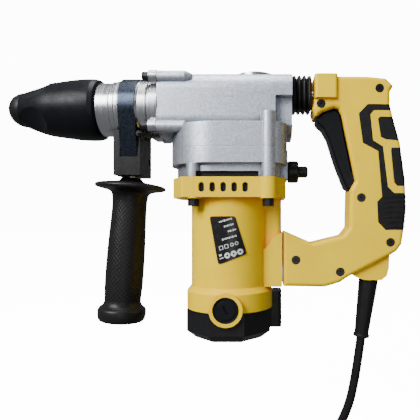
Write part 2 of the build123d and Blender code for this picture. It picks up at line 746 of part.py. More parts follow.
def tail_cap():
    """Black cap that closes the motor, with a bevelled foot and air slits."""
    with BuildPart() as piece:
        with BuildSketch(level(CAP_BOTTOM_Z)):
            with Locations((MOTOR_X, 0)):
                RegularPolygon(32.0, 8, rotation=22.5)
        with BuildSketch(level(CAP_BOTTOM_Z + 7.0)):
            with Locations((MOTOR_X, 0)):
                RegularPolygon(CAP_CORNER_R, 8, rotation=22.5)
        loft(ruled=True)
        with BuildSketch(level(CAP_BOTTOM_Z + 7.0)):
            with Locations((MOTOR_X, 0)):
                RegularPolygon(CAP_CORNER_R, 8, rotation=22.5)
        extrude(amount=CAP_SEAM_Z - CAP_BOTTOM_Z - 7.0)
        with BuildSketch(level(CAP_BOTTOM_Z + 6.0)):
            with Locations((-98.0, 14.0)):
                RectangleRounded(14.0, 24.0, 4.0)
        extrude(amount=34.0)
        with BuildSketch(level(CAP_BOTTOM_Z + WALL)):
            with Locations((MOTOR_X, 0)):
                Circle(MOTOR_R - WALL)
        extrude(amount=60.0, mode=Mode.SUBTRACT)
        with BuildSketch(level(CAP_SEAM_Z)):
            with Locations((MOTOR_X, 0)):
                Circle(LIP_R + 0.3)
        extrude(amount=40.0, mode=Mode.SUBTRACT)
        with BuildSketch(level(CAP_BOTTOM_Z)):
            with Locations((MOTOR_X, 0)):
                for row in range(5):
                    with Locations((0, 8.0 * (row - 2))):
                        SlotOverall(34.0, 3.0)
        extrude(amount=WALL, mode=Mode.SUBTRACT)
        with Locations(Plane(origin=(MOTOR_X, -60, BRUSH_Z), z_dir=(0, 1, 0))):
            Cylinder(14.9, 120, align=(Align.CENTER, Align.CENTER, Align.MIN), mode=Mode.SUBTRACT)
    return piece


def base_screws():
    """Four socket-head screws from the motor collar up into the crankcase."""
    with BuildPart() as piece:
        with BuildSketch(level(COLLAR_Z - 7.6)):
            with Locations(*BASE_BOLTS):
                Circle(5.0)
        extrude(amount=6.6)
        with BuildSketch(level(COLLAR_Z - 7.6)):
            with Locations(*BASE_BOLTS):
                RegularPolygon(2.4, 6)
        extrude(amount=3.4, mode=Mode.SUBTRACT)
        with BuildSketch(level(COLLAR_Z - 1.0)):
            with Locations(*BASE_BOLTS):
                Circle(2.45)
        extrude(amount=CASE_SEAM_Z + 10.0 - COLLAR_Z)
    return piece


def stator_core():
    """Laminated field core with two pole shoes."""
    with BuildPart() as piece:
        with BuildSketch(level(-96.0)):
            with Locations((MOTOR_X, 0)):
                Circle(MOTOR_R - WALL - 0.2)
                Circle(27.0, mode=Mode.SUBTRACT)
        extrude(amount=44.0)
        with BuildSketch(level(-96.0)):
            with Locations((MOTOR_X + 23.5, 0), (MOTOR_X - 23.5, 0)):
                Rectangle(9.0, 22.0)
            with Locations((MOTOR_X, 0)):
                Circle(19.6, mode=Mode.SUBTRACT)
        extrude(amount=44.0)
    return piece


def field_coils():
    """Two field windings around the pole shoes."""
    with BuildPart() as piece:
        for side in (-1, 1):
            with Locations((MOTOR_X + side * 23.4, 0, -74.0)):
                Box(5.6, 36.0, 56.0)
                Box(5.6, 22.4, 44.4, mode=Mode.SUBTRACT)
        with BuildSketch(level(-110.0)):
            with Locations((MOTOR_X, 0)):
                Circle(40.0)
                Circle(26.9, mode=Mode.SUBTRACT)
        extrude(amount=80.0, mode=Mode.SUBTRACT)
    return piece


def rotor_shaft():
    """Armature shaft with its journals, from the tail bearing up to the pinion seat."""
    outline = [(0, -152.0), (4.0 - RUN, -152.0), (4.0 - RUN, -143.0), (5.0, -143.0), (5.0, -16.0),
               (6.0 - RUN, -16.0), (6.0 - RUN, -3.0), (0, -3.0)]
    with BuildPart() as piece:
        add(turned(outline, upright(MOTOR_X), MOTOR_AXIS).part)
        add(spur_gear(MOTOR_X, -3.0, 11.0, PINION_TEETH, 0, 0).part)
    return piece


def rotor_core():
    with BuildPart() as piece:
        with BuildSketch(level(-96.0)):
            with Locations((MOTOR_X, 0)):
                Circle(19.1)
                Circle(5.0, mode=Mode.SUBTRACT)
                with PolarLocations(17.6, 12):
                    Rectangle(3.4, 1.8, mode=Mode.SUBTRACT)
        extrude(amount=44.0)
    return piece


def rotor_windings():
    """Copper end turns above and below the armature core."""
    upper = [(5.0, -52.0), (17.4, -52.0), (17.0, -44.0), (12.0, -41.0), (5.0, -41.0)]
    lower = [(5.0, -96.0), (5.0, -107.0), (12.0, -107.0), (17.0, -104.0), (17.4, -96.0)]
    with BuildPart() as piece:
        add(turned(upper, upright(MOTOR_X), MOTOR_AXIS).part)
        add(turned(lower, upright(MOTOR_X), MOTOR_AXIS).part)
    return piece


def commutator():
    with BuildPart() as piece:
        with BuildSketch(level(-139.0)):
            with Locations((MOTOR_X, 0)):
                Circle(12.0)
                Circle(5.0, mode=Mode.SUBTRACT)
                with PolarLocations(12.0, 24):
                    Rectangle(1.6, 0.5, mode=Mode.SUBTRACT)
        extrude(amount=27.0)
    return piece


def cooling_fan():
    """Radial fan with curved blades, behind the collar's vents."""
    with BuildPart() as piece:
        add(ring_z(MOTOR_X, -36.0, -20.0, 5.0, 9.0).part)
        add(ring_z(MOTOR_X, -36.0, -34.0, 5.0, 28.0).part)
        with BuildSketch(level(-36.0)):
            with Locations((MOTOR_X, 0)):
                with PolarLocations(17.5, 11):
                    Rectangle(19.0, 1.4, rotation=28)
        extrude(amount=12.0)
    return piece


def motor_cross():
    """Plate at the bottom of the motor that holds the tail bearing."""
    with BuildPart() as piece:
        with BuildSketch(level(-152.0)):
            with Locations((MOTOR_X, 0)):
                Circle(MOTOR_R - WALL - 0.2)
                Circle(11.0, mode=Mode.SUBTRACT)
                with PolarLocations(22.0, 6):
                    Circle(6.0, mode=Mode.SUBTRACT)
        extrude(amount=8.0)
    return piece


def rating_plate():
    """Slanted plate stuck on the curved side of the motor."""
    with BuildPart() as piece:
        with BuildSketch(SIDE_PLANE) as plate:
            with BuildLine():
                Polyline((-155.0, -48.7), (-132.5, -48.7), (-122.4, -81.4), (-147.0, -90.8), close=True)
            make_face()
            fillet(plate.vertices(), 1.8)
        extrude(amount=50)
        with BuildSketch(level(-100.0)):
            with Locations((MOTOR_X, 0)):
                Circle(70.0)
                Circle(MOTOR_R + 0.6, mode=Mode.SUBTRACT)
        extrude(amount=60.0, mode=Mode.SUBTRACT)
        with BuildSketch(level(-100.0)):
            with Locations((MOTOR_X, 0)):
                Circle(MOTOR_R)
        extrude(amount=60.0, mode=Mode.SUBTRACT)
    return piece


# ---------------------------------------------------------------- mode knob
def mode_knob():
    """Turn knob with a thumb stub, behind the crankcase."""
    outline = [(-89.0, 0), (-89.0, 3.5), (-85.6, 3.5), (-85.6, 9.0), (-84.6, 10.4), (-76.6, 10.4),
               (-75.4, 9.2), (-75.4, 5.5), (-67.6, 5.5), (-66.3, 4.2), (-66.3, 0)]
    plane = Plane(origin=(0, 0, -6.4), x_dir=(1, 0, 0), z_dir=(0, -1, 0))
    return turned(outline, plane, Axis((0, 0, -6.4), (1, 0, 0)))


# ---------------------------------------------------------------- side handle
def side_axis_plane(height):
    """Square to the side handle's leaning axis at one height below the clamp."""
    lean = math.radians(SIDE_TILT)
    direction = Vector(math.sin(lean), 0, math.cos(lean))
    origin = Vector(SIDE_TOP[0], 0, SIDE_TOP[1]) + direction * (height / math.cos(lean))
    return Plane(origin=origin, x_dir=(math.cos(lean), 0, -math.sin(lean)), z_dir=direction)


def side_turned(outline):
    """A solid turned about the side handle's axis from (radius, height) points."""
    base = side_axis_plane(0)
    plane = Plane(origin=base.origin, x_dir=base.x_dir, z_dir=(0, -1, 0))
    return turned(outline, plane, Axis(base.origin, base.z_dir))


def strap_region(inset=0.0):
    """Section inside the strap: the barrel's circle and legs that lean in to the block."""
    radius = BAND_R + BAND_T - inset
    foot_y = STRAP_FOOT[0] - inset
    foot_z = STRAP_FOOT[1]
    reach = math.hypot(foot_y, foot_z)
    touch = math.atan2(foot_z, foot_y) + math.acos(radius / reach)
    touch_y = radius * math.cos(touch)
    touch_z = radius * math.sin(touch)
    with BuildSketch() as section:
        Circle(radius)
        with BuildLine():
            Polyline((touch_y, touch_z), (foot_y, foot_z), (-foot_y, foot_z),
                      (-touch_y, touch_z), close=True)
        make_face()
    return section.sketch


def clamp_band():
    """Steel strap over the barrel, with its legs let into the block."""
    with BuildPart() as piece:
        with BuildSketch(across(BAND_X)):
            add(strap_region())
            add(strap_region(BAND_T), mode=Mode.SUBTRACT)
        extrude(amount=BAND_WIDTH / 2, both=True)
    return piece


def clamp_block():
    """Moulded block under the band, cradling the barrel and holding the clamp bolt."""
    with BuildPart() as piece:
        with Locations((BAND_X - 1.8, 0, 9.5)):
            Box(24.4, 37.6, 41.0)
        with Locations(Plane(origin=(BAND_X - 20, 0, AXIS_Z), z_dir=(1, 0, 0))):
            Cylinder(BAND_R + 0.3, 40, align=(Align.CENTER, Align.CENTER, Align.MIN), mode=Mode.SUBTRACT)
        with BuildSketch(across(BAND_X)):
            with Locations((0, STRAP_FOOT[1] + 40.0 - 0.3)):
                Rectangle(90.0, 80.0)
            add(strap_region(BAND_T + 0.1), mode=Mode.SUBTRACT)
        extrude(amount=BAND_WIDTH / 2 + 0.7, both=True, mode=Mode.SUBTRACT)
        lean = side_axis_plane(-60.0)
        with BuildSketch(lean):
            Circle(4.0 + RUN)
        extrude(amount=84.0, mode=Mode.SUBTRACT)
        with BuildSketch(across(BAND_X - 20.0)):
            with Locations((DEPTH_ROD[0], DEPTH_ROD[1] - AXIS_Z)):
                Circle(DEPTH_ROD_R)
        extrude(amount=40.0, mode=Mode.SUBTRACT)
    return piece


def side_grip():
    """Grip with its guard disc and end flange, turned about the leaning axis."""
    outline = [(4.0, -12.0), (9.6, -12.0), (10.6, -15.6), (22.0, -16.8), (31.6, -18.6), (32.8, -20.6),
               (31.6, -22.6), (22.0, -24.4), (17.6, -26.0), (16.2, -30.0), (15.9, -36.0), (16.2, -50.0),
               (17.5, -84.0), (17.5, -118.0), (16.6, -130.0), (18.4, -133.6), (21.6, -135.4),
               (22.2, -139.0), (21.2, -146.0), (0, -147.2), (0, -81.0), (4.0, -81.0)]
    return side_turned(outline)


def side_bolt():
    """Threaded rod of the side grip, which draws the band down into the block."""
    return side_turned([(0, 22.0), (0, -80.8), (4.0, -80.8), (4.0, 22.0)])


# ---------------------------------------------------------------- rear handle
def handle_outline():
    """Outer outline of the rear handle with its lower arm, clockwise from the top front."""
    return [(-60.8, 80.4), (-12.8, 80.0), (4.2, 78.4), (11.4, 71.5), (8.2, 66.0), (8.1, 54.4),
            (10.9, 42.9), (17.5, 19.0), (22.1, -14.7), (23.0, -41.9), (21.3, -58.9), (18.8, -74.2),
            (14.2, -80.6), (7.7, -84.6), (-31.0, -104.6), (-37.6, -109.2), (-51.7, -113.4),
            (HANDLE_FRONT_X, -112.8), (HANDLE_FRONT_X, -61.4), (-63.5, -73.0), (-35.3, -66.1),
            (-29.4, -58.5), (-28.7, -24.4), (-24.0, -16.0), (-36.4, 44.0), (-39.0, 49.9),
            (-43.1, 51.1), (-53.8, 47.4), (-60.4, 42.4), (-63.0, 50.0), (-61.6, 60.0)]


HANDLE_SCREWS = [(-1.8, 68.5), (-55.2, 54.4), (-18.5, -31.5), (8.1, -72.4), (-37.8, -99.4),
                 (-78.3, -88.6)]


def handle_block(inset=0.0):
    """The closed handle's rounded outside, or the same shape a little smaller."""
    half = HANDLE_HALF_W - inset
    with BuildPart() as piece:
        with BuildSketch(SIDE_PLANE) as outside:
            with BuildLine():
                Polyline(*handle_outline(), close=True)
            make_face()
            if inset:
                offset(amount=-inset, kind=Kind.INTERSECTION)
            fillet(outside.vertices(), 1.5)
        extrude(amount=half, both=True)
        fillet(piece.faces().sort_by(Axis.Y)[-1].outer_wire().edges(), HANDLE_ROUND - inset)
        fillet(piece.faces().sort_by(Axis.Y)[0].outer_wire().edges(), HANDLE_ROUND - inset)
    return piece


def handle_body():
    """The whole closed handle before it is split at the middle."""
    with BuildPart() as piece:
        add(handle_block().part)
        with BuildSketch(level(59.4)):
            with Locations((-50.9, 0)):
                RectangleRounded(20.8, 40.0, 3.0)
        extrude(amount=21.6)
        with BuildSketch(SIDE_PLANE):
            with BuildLine():
                Polyline((-27.0, -100.0), (-23.0, -104.6), (-14.0, RELIEF_TOP[1]), (1.0, RELIEF_TOP[1]),
                         (6.0, -103.6), (8.0, -96.0), (8.4, -83.6), close=True)
            make_face()
        extrude(amount=11.5, both=True)
    return piece


def handle_pocket():
    """Hollow inside of the handle, left open towards the trigger."""
    with BuildPart() as piece:
        with BuildSketch(SIDE_PLANE) as inside:
            with BuildLine():
                Polyline(*handle_outline(), close=True)
            make_face()
            offset(amount=-HANDLE_WALL, kind=Kind.INTERSECTION)
        extrude(amount=HANDLE_HALF_W - HANDLE_WALL, both=True)
    return piece


def handle_shell(side):
    """One moulded half, with the screw bosses and the trigger's slot."""
    shell = handle_body().part
    with BuildPart() as piece:
        add(shell)
        add(grip_pads().part, mode=Mode.SUBTRACT)
        add(handle_pocket().part, mode=Mode.SUBTRACT)
        for x, z in HANDLE_SCREWS:
            with Locations(Plane(origin=(x, -HANDLE_HALF_W + 2.0, z), z_dir=(0, 1, 0))):
                Cylinder(5.4, 2 * HANDLE_HALF_W - 4.0, align=(Align.CENTER, Align.CENTER, Align.MIN))
        with BuildSketch(SIDE_PLANE):
            with BuildLine():
                Polyline((-64.0, 41.0), (-54.3, 47.9), (-43.4, 52.4), (-34.0, 54.5), (-26.0, 44.0),
                         (-13.0, -10.0), (-20.0, -24.8), (-34.0, -25.2), close=True)
            make_face()
        extrude(amount=TRIGGER_HALF_W + 0.5, both=True, mode=Mode.SUBTRACT)
        with Locations(((HANDLE_FRONT_X - 78.0) / 2, 0, PIVOT[1])):
            Box(HANDLE_FRONT_X * -1 - 78.0 + 0.4, 17.0, 13.6, mode=Mode.SUBTRACT)
        with Locations((-60.0, 0, GUIDE_Z)):
            Cylinder(6.6, 16.0, rotation=(0, 90, 0), mode=Mode.SUBTRACT)
        for x, z in HANDLE_SCREWS:
            with Locations(Plane(origin=(x, -30, z), z_dir=(0, 1, 0))):
                Cylinder(2.0, 60, align=(Align.CENTER, Align.CENTER, Align.MIN), mode=Mode.SUBTRACT)
            for near in (-1, 1):
                with Locations((x, near * (HANDLE_HALF_W + 1), z)):
                    Cylinder(4.1, 8.0, rotation=(90, 0, 0), mode=Mode.SUBTRACT)
        with Locations((TRIGGER_PIVOT[0], 0, TRIGGER_PIVOT[1])):
            Cylinder(2.0, 2 * HANDLE_HALF_W - 5.0, rotation=(90, 0, 0), mode=Mode.SUBTRACT)
        with Locations((PIVOT[0], 0, PIVOT[1])):
            Cylinder(3.5, 2 * HANDLE_HALF_W - 3.0, rotation=(90, 0, 0), mode=Mode.SUBTRACT)
        relief = relief_plane()
        with BuildSketch(relief.offset(-4.0)):
            Circle(9.4)
        extrude(amount=30.0, mode=Mode.SUBTRACT)
        split(bisect_by=Plane.XZ, keep=Keep.TOP if side < 0 else Keep.BOTTOM)
    return piece


def relief_plane():
    """Mouth of the strain relief, with its normal pointing up along the relief's axis."""
    lean = math.radians(RELIEF_TILT)
    return Plane(origin=(RELIEF_TOP[0], 0, RELIEF_TOP[1]), x_dir=(math.cos(lean), 0, -math.sin(lean)),
                 z_dir=(math.sin(lean), 0, math.cos(lean)))


PAD_SKIN = 1.3            # thickness of the soft pads
PAD_FRAME = [(-12.7, 54.0), (30.0, 53.6), (30.0, 48.3), (-7.0, 48.3), (-10.3, 44.6), (-7.8, 20.8),
             (1.2, 15.2), (5.7, -21.6), (11.3, -27.3), (40.0, -27.3), (40.0, -61.0), (3.5, -61.0),
             (-3.3, -53.9), (-4.1, -35.3), (0.3, -30.6), (-3.3, 11.0), (-17.2, 18.5), (-20.9, 45.4)]
PAD_UPPER = [(-1.7, 42.5), (30.0, 42.2), (30.0, 19.3), (3.6, 21.7), (-0.9, 24.1), (-3.3, 40.5)]
PAD_LOWER = [(9.0, 14.3), (40.0, 13.9), (40.0, -20.8), (14.3, -20.8), (11.3, -17.5), (8.5, 11.9)]


def grip_pads(grow=0.0):
    """Soft overmoulded pads that wrap the back of the handle from side to side."""
    with BuildPart() as piece:
        for outline in (PAD_FRAME, PAD_UPPER, PAD_LOWER):
            with BuildSketch(SIDE_PLANE):
                with BuildLine():
                    Polyline(*outline, close=True)
                make_face()
            extrude(amount=30.0, both=True)
        add(handle_block().part, mode=Mode.INTERSECT)
        add(handle_block(PAD_SKIN).part, mode=Mode.SUBTRACT)
    return piece


def handle_screws():
    """Six screws that join the handle halves, sunk in round recesses."""
    with BuildPart() as piece:
        for x, z in HANDLE_SCREWS:
            with Locations(Plane(origin=(x, -HANDLE_HALF_W + 3.0, z), z_dir=(0, 1, 0))):
                Cylinder(1.9, 2 * HANDLE_HALF_W - 9.0, align=(Align.CENTER, Align.CENTER, Align.MIN))
            with Locations(Plane(origin=(x, -HANDLE_HALF_W + 0.6, z), z_dir=(0, 1, 0))):
                Cylinder(3.8, 2.4, align=(Align.CENTER, Align.CENTER, Align.MIN))
            with BuildSketch(Plane(origin=(x, -HANDLE_HALF_W + 0.6, z), x_dir=(1, 0, 0), z_dir=(0, 1, 0))):
                Rectangle(4.4, 1.0)
                Rectangle(1.0, 4.4)
            extrude(amount=1.4, mode=Mode.SUBTRACT)
    return piece


def trigger():
    """Long rocking trigger, hinged at its lower end."""
    with BuildPart() as piece:
        with BuildSketch(SIDE_PLANE):
            with BuildLine():
                Polyline((-59.6, 41.2), (-53.8, 47.2), (-43.1, 50.8), (-39.3, 49.6), (-37.0, 46.5),
                         (-35.2, 40.0), (-32.0, 21.7), (-26.0, -6.0), (-17.4, -7.2), (-15.4, -12.4),
                         (-18.4, -16.8), (-24.4, -22.6), (-29.0, -24.0), (-31.6, -22.4), (-39.9, -1.5),
                          (-48.1, 24.2), (-53.0, 33.0),
                         (-58.0, 37.5), close=True)
            make_face()
        extrude(amount=TRIGGER_HALF_W, both=True)
        front = piece.faces().sort_by(Axis.Y)
        chamfer(front[-1].outer_wire().edges(), 1.6)
        chamfer(piece.faces().sort_by(Axis.Y)[0].outer_wire().edges(), 1.6)
        with Locations((TRIGGER_PIVOT[0], 0, TRIGGER_PIVOT[1])):
            Cylinder(2.0 + RUN, 60, rotation=(90, 0, 0), mode=Mode.SUBTRACT)
    return piece


def handle_pins():
    """Pivot pins of the trigger and of the lower arm, both held by the handle halves."""
    with BuildPart() as piece:
        with Locations((TRIGGER_PIVOT[0], 0, TRIGGER_PIVOT[1])):
            Cylinder(2.0, 2 * HANDLE_HALF_W - 5.0, rotation=(90, 0, 0))
        with Locations((PIVOT[0], 0, PIVOT[1])):
            Cylinder(3.5, 2 * HANDLE_HALF_W - 3.0, rotation=(90, 0, 0))
    return piece


def switch_body():
    """Trigger switch inside the handle, with its plunger side towards the trigger."""
    with BuildPart() as piece:
        with BuildSketch(SIDE_PLANE):
            with BuildLine():
                Polyline((-22.5, 38.0), (-11.0, 38.0), (-3.0, 2.0), (-12.6, 2.0), close=True)
            make_face()
        extrude(amount=8.0, both=True)
    return piece


def cord_clamp():
    """Bar and two screws that hold the lead inside the handle."""
    with BuildPart() as piece:
        with Locations((-7.0, 0, -70.0)):
            Box(12.0, 20.0, 5.0)
        with Locations((-7.0, 0, -66.8)):
            with GridLocations(0, 15.0, 1, 2):
                Cylinder(2.6, 1.6)
    return piece


def pivot_lug():
    """Steel tongue from the motor's stub into the handle, with the pivot bore."""
    with BuildPart() as piece:
        with BuildSketch(SIDE_PLANE):
            with Locations((-91.5, PIVOT[1])):
                Rectangle(15.0, 10.8)
            with Locations(PIVOT):
                Circle(5.4)
                Circle(3.5 + RUN, mode=Mode.SUBTRACT)
            with Locations(((-104.0 - 99.0) / 2, PIVOT[1])):
                Rectangle(5.0, 10.8)
        extrude(amount=7.9, both=True)
        with Locations((PIVOT[0], 0, PIVOT[1])):
            Cylinder(3.5 + RUN, 40, rotation=(90, 0, 0), mode=Mode.SUBTRACT)
    return piece


def guide_rod():
    """Upper guide of the damped handle, with its stop head inside the handle."""
    plane = Plane(origin=(0, 0, GUIDE_Z), x_dir=(1, 0, 0), z_dir=(0, -1, 0))
    outline = [(REAR_FACE_X, 0), (REAR_FACE_X, 7.0), (REAR_FACE_X + 2, 7.0), (REAR_FACE_X + 2, 4.0),
               (-50.0, 4.0), (-50.0, 0)]
    return turned(outline, plane, Axis((0, 0, GUIDE_Z), (1, 0, 0)))


def damper_links():
    """The two steel links between machine and rear handle: pivot tongue and guide rod."""
    with BuildPart() as piece:
        add(pivot_lug().part)
        add(guide_rod().part)
    return piece


def bellows():
    """Ribbed rubber bellows that closes the gap over the guide rod."""
    section_plane = Plane(origin=(REAR_FACE_X, 0, GUIDE_Z), x_dir=(0, 1, 0), z_dir=(1, 0, 0))
    rib = 4.6
    with BuildPart() as piece:
        with BuildSketch(section_plane):
            RectangleRounded(30.0, 28.0, 9.0)
        extrude(amount=18.6)
        for step in range(4):
            with BuildSketch(section_plane.offset(0.6 + step * rib)):
                RectangleRounded(34.6, 32.6, 10.0)
            extrude(amount=2.8)
        with BuildSketch(section_plane):
            RectangleRounded(26.4, 24.4, 8.0)
        extrude(amount=18.6, mode=Mode.SUBTRACT)
    return piece


# ---------------------------------------------------------------- mains lead
FLOOR_Z = -292.0
TIE_T = 1.2
COIL_X = -105.0
COIL_R = (34.25, 42.75, 51.25, 59.75)
COIL_Y = -COIL_R[-1]
COIL_Z = FLOOR_Z + TIE_T
ROW_1_Z = COIL_Z + CORD_D / 2
ROW_2_Z = ROW_1_Z + CORD_D
LEAD_ROUTE = [(-15.6, 0, -162.2), (-20.4, 0, -199.0), (-28.5, 0, -234.0), (-48.0, 1.2, -262.0),
              (-75.0, 1.6, -279.5), (-105.0, 0, ROW_1_Z)]
TAIL_ROUTE = [(-105.0, 2 * COIL_Y, ROW_2_Z), (-85.0, 2 * COIL_Y - 0.8, ROW_2_Z - 0.5),
              (-64.0, 2 * COIL_Y - 3.6, ROW_2_Z - 2.2), (-44.0, 2 * COIL_Y - 5.6, FLOOR_Z + 11.0)]


def route_radii(route):
    """Largest arc at each corner: 0.45 of the shorter run over the tangent of half the turn."""
    points = [Vector(*p) for p in route]
    radii = []
    for before, corner, after in zip(points, points[1:], points[2:]):
        into = corner - before
        out = after - corner
        turn = math.radians(into.get_angle(out))
        radii.append(0.45 * min(into.length, out.length) / math.tan(turn / 2))
    return radii


def lead_tube(route, name):
    radii = route_radii(route)
    with BuildPart() as piece:
        with BuildLine() as path:
            FilletPolyline(*route, radius=radii)
        with BuildSketch(Plane(origin=path.line @ 0, z_dir=path.line % 0)):
            Circle(CORD_D / 2)
        sweep()
    length = path.wire().length
    expected = math.pi * CORD_D ** 2 / 4 * length
    print(name, "radii", [round(r) for r in radii], "length", round(length, 1),
          "volume ratio", round(piece.part.volume / expected, 4))
    return piece


def cord_tube():
    """The lead from the boot down to the coil, and its short end from the coil to the plug."""
    with BuildPart() as piece:
        add(lead_tube(LEAD_ROUTE, "lead").part)
        add(lead_tube(TAIL_ROUTE, "tail").part)
    return piece


def cord_coil():
    inner = COIL_R[0] - CORD_D / 2
    outer = COIL_R[-1] + CORD_D / 2
    with BuildPart() as piece:
        with BuildSketch(level(COIL_Z)):
            with Locations((COIL_X, COIL_Y)):
                Circle(outer)
                Circle(inner, mode=Mode.SUBTRACT)
        extrude(amount=2 * CORD_D)
    turns = 2 * len(COIL_R)
    print("coil turns", turns, "length", round(2 * 2 * math.pi * sum(COIL_R) + math.pi * COIL_R[-1], 1))
    return piece


def coil_tie():
    """Strap around the coil's section."""
    inner = COIL_R[0] - CORD_D / 2
    outer = COIL_R[-1] + CORD_D / 2
    plane = Plane(origin=(COIL_X, COIL_Y, 0), x_dir=(1, 0, 0), z_dir=(0, -1, 0))
    axis = Axis((COIL_X, COIL_Y, 0), (0, 0, 1))
    with BuildPart() as piece:
        with BuildSketch(plane):
            with Locations(((inner + outer) / 2, COIL_Z + CORD_D)):
                Rectangle(outer - inner + 2 * TIE_T, 2 * CORD_D + 2 * TIE_T)
                Rectangle(outer - inner, 2 * CORD_D, mode=Mode.SUBTRACT)
        revolve(axis=axis, revolution_arc=16)
    piece.part = piece.part.rotate(axis, -8)
    return piece


def strain_relief():
    """Tapered rubber boot where the lead leaves the handle."""
    plane = relief_plane()
    side = Plane(origin=plane.origin, x_dir=plane.x_dir, z_dir=(0, -1, 0))
    outline = [(CORD_D / 2, 12.0), (9.0, 12.0), (9.0, -2.0), (8.8, -8.0), (6.6, -RELIEF_LENGTH + 3.0),
               (7.6, -RELIEF_LENGTH + 2.0), (7.6, -RELIEF_LENGTH), (CORD_D / 2, -RELIEF_LENGTH)]
    return turned(outline, side, Axis(plane.origin, plane.z_dir))


def plug_body():
    """Contour plug, lying flat beside the coil."""
    start = TAIL_ROUTE[-1]
    heading = Plane(origin=start, x_dir=(0, 1, 0), z_dir=(1, 0, 0))
    with BuildPart() as piece:
        for along, width, height in ((0, 12.0, 12.0), (18.0, 14.0, 13.0)):
            with BuildSketch(heading.offset(along)):
                RectangleRounded(width, height, 5.0)
        loft()
        for along, width, height in ((18.0, 14.0, 13.0), (30.0, 35.0, 20.0)):
            with BuildSketch(heading.offset(along)):
                RectangleRounded(width, height, 5.0)
        loft()
        with BuildSketch(heading.offset(30.0)):
            RectangleRounded(35.0, 20.0, 5.0)
        extrude(amount=16.0)
    return piece


def plug_pins():
    """Two round contact pins."""
    start = TAIL_ROUTE[-1]
    with BuildPart() as piece:
        for side in (-1, 1):
            at = (start[0] + 46.0, start[1] + side * 9.5, start[2])
            with Locations(Plane(origin=at, z_dir=(1, 0, 0))):
                Cylinder(2.4, 18.0, align=(Align.CENTER, Align.CENTER, Align.MIN))
                with Locations((0, 0, 18.0)):
                    Sphere(2.4)
    return piece


# ---------------------------------------------------------------- assembly
def build_machine():
    save(gear_housing(), "gear_housing")
    save(crankcase_base(), "crankcase_base")
    save(bearing_plate(), "bearing_plate")
    save(front_housing(), "front_housing")
    save(front_bolts(), "front_bolts")
    save(oil_cap(), "oil_cap")
    save(motor_housing(), "motor_housing")
    save(tail_cap(), "tail_cap")
    save(brush_caps(), "brush_caps")
    save(brush_holders(), "brush_holders")
    save(carbon_brushes(), "carbon_brushes")
    save(base_screws(), "base_screws")
    save(stator_core(), "stator_core")
    save(field_coils(), "field_coils")
    save(rating_plate(), "rating_plate")
    save(motor_bearings(), "motor_bearings")
    save(gear_shaft_bearings(), "gear_shaft_bearings")
    save(spindle_bearings(), "spindle_bearings")
    save(ring_x(-276.0, -270.0, NECK_R + RUN, 21.0), "front_seal")
    save(damper_links(), "damper_links")


def build_mechanism():
    save(rotor_shaft(), "rotor_shaft")
    save(rotor_core(), "rotor_core")
    save(rotor_windings(), "rotor_windings")
    save(commutator(), "commutator")
    save(cooling_fan(), "cooling_fan")
    save(spur_gear(CRANK_X, 2.0, 9.6, CRANK_TEETH, 0, 6.0 - RUN), "crank_gear")
    save(crank_shaft(), "crank_shaft")
    save(spur_gear(INTER_X, 2.0, 9.6, INTER_TEETH, 0, 5.0 - RUN), "intermediate_gear")
    save(intermediate_shaft(), "intermediate_shaft")
    save(bevel_ring_gear(), "bevel_ring_gear")
    save(spindle(), "spindle")
    save(locking_balls(), "locking_balls")
    save(helix_spring((-315.1, 0, AXIS_Z), 4, 5.5, 15.3, 1.6, (1, 0, 0)), "sleeve_spring")
    save(dust_cap(), "dust_cap")
    save(lock_sleeve(), "lock_sleeve")
    save(piston(), "piston")
    save(wrist_pin(), "wrist_pin")
    save(connecting_rod(), "connecting_rod")
    save(striker(), "striker")
    save(impact_bolt(), "impact_bolt")
    save(mode_knob(), "mode_knob")


def build_handles():
    save(clamp_band(), "clamp_band")
    save(clamp_block(), "clamp_block")
    save(side_bolt(), "side_bolt")
    save(side_grip(), "side_grip")
    save(handle_shell(-1), "handle_shell_left")
    save(handle_shell(1), "handle_shell_right")
    save(grip_pads(), "grip_pads")
    save(handle_screws(), "handle_screws")
    save(trigger(), "trigger")
    save(handle_pins(), "handle_pins")
    save(switch_body(), "switch_body")
    save(cord_clamp(), "cord_clamp")
    save(bellows(), "bellows")


def build_lead():
    save(strain_relief(), "strain_relief")
    save(cord_tube(), "cord_tube")
    save(cord_coil(), "cord_coil")
    save(coil_tie(), "coil_tie")
    save(plug_body(), "plug_body")
    save(plug_pins(), "plug_pins")


build_machine()
build_mechanism()
build_handles()
build_lead()
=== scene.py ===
"""Looks for the demolition hammer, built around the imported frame."""

import json
import math

import bmesh
import bpy
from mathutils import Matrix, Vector


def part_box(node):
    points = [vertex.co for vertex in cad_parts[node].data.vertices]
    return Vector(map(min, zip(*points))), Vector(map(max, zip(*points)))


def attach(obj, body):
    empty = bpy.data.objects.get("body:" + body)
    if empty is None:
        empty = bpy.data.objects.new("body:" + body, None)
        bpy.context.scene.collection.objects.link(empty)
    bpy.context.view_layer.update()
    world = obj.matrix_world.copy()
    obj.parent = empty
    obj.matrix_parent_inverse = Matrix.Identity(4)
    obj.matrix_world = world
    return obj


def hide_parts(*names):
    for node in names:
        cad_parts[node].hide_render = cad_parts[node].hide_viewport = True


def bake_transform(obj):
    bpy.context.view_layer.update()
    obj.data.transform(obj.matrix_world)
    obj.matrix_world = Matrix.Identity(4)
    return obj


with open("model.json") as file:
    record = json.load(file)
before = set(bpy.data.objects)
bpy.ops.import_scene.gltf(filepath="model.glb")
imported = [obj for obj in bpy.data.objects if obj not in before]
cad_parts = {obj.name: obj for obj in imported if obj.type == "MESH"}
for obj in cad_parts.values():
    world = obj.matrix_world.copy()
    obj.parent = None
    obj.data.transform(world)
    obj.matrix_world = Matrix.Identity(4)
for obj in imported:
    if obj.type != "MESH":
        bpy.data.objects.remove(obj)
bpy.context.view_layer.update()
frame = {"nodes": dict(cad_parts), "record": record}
NODES = frame["nodes"]

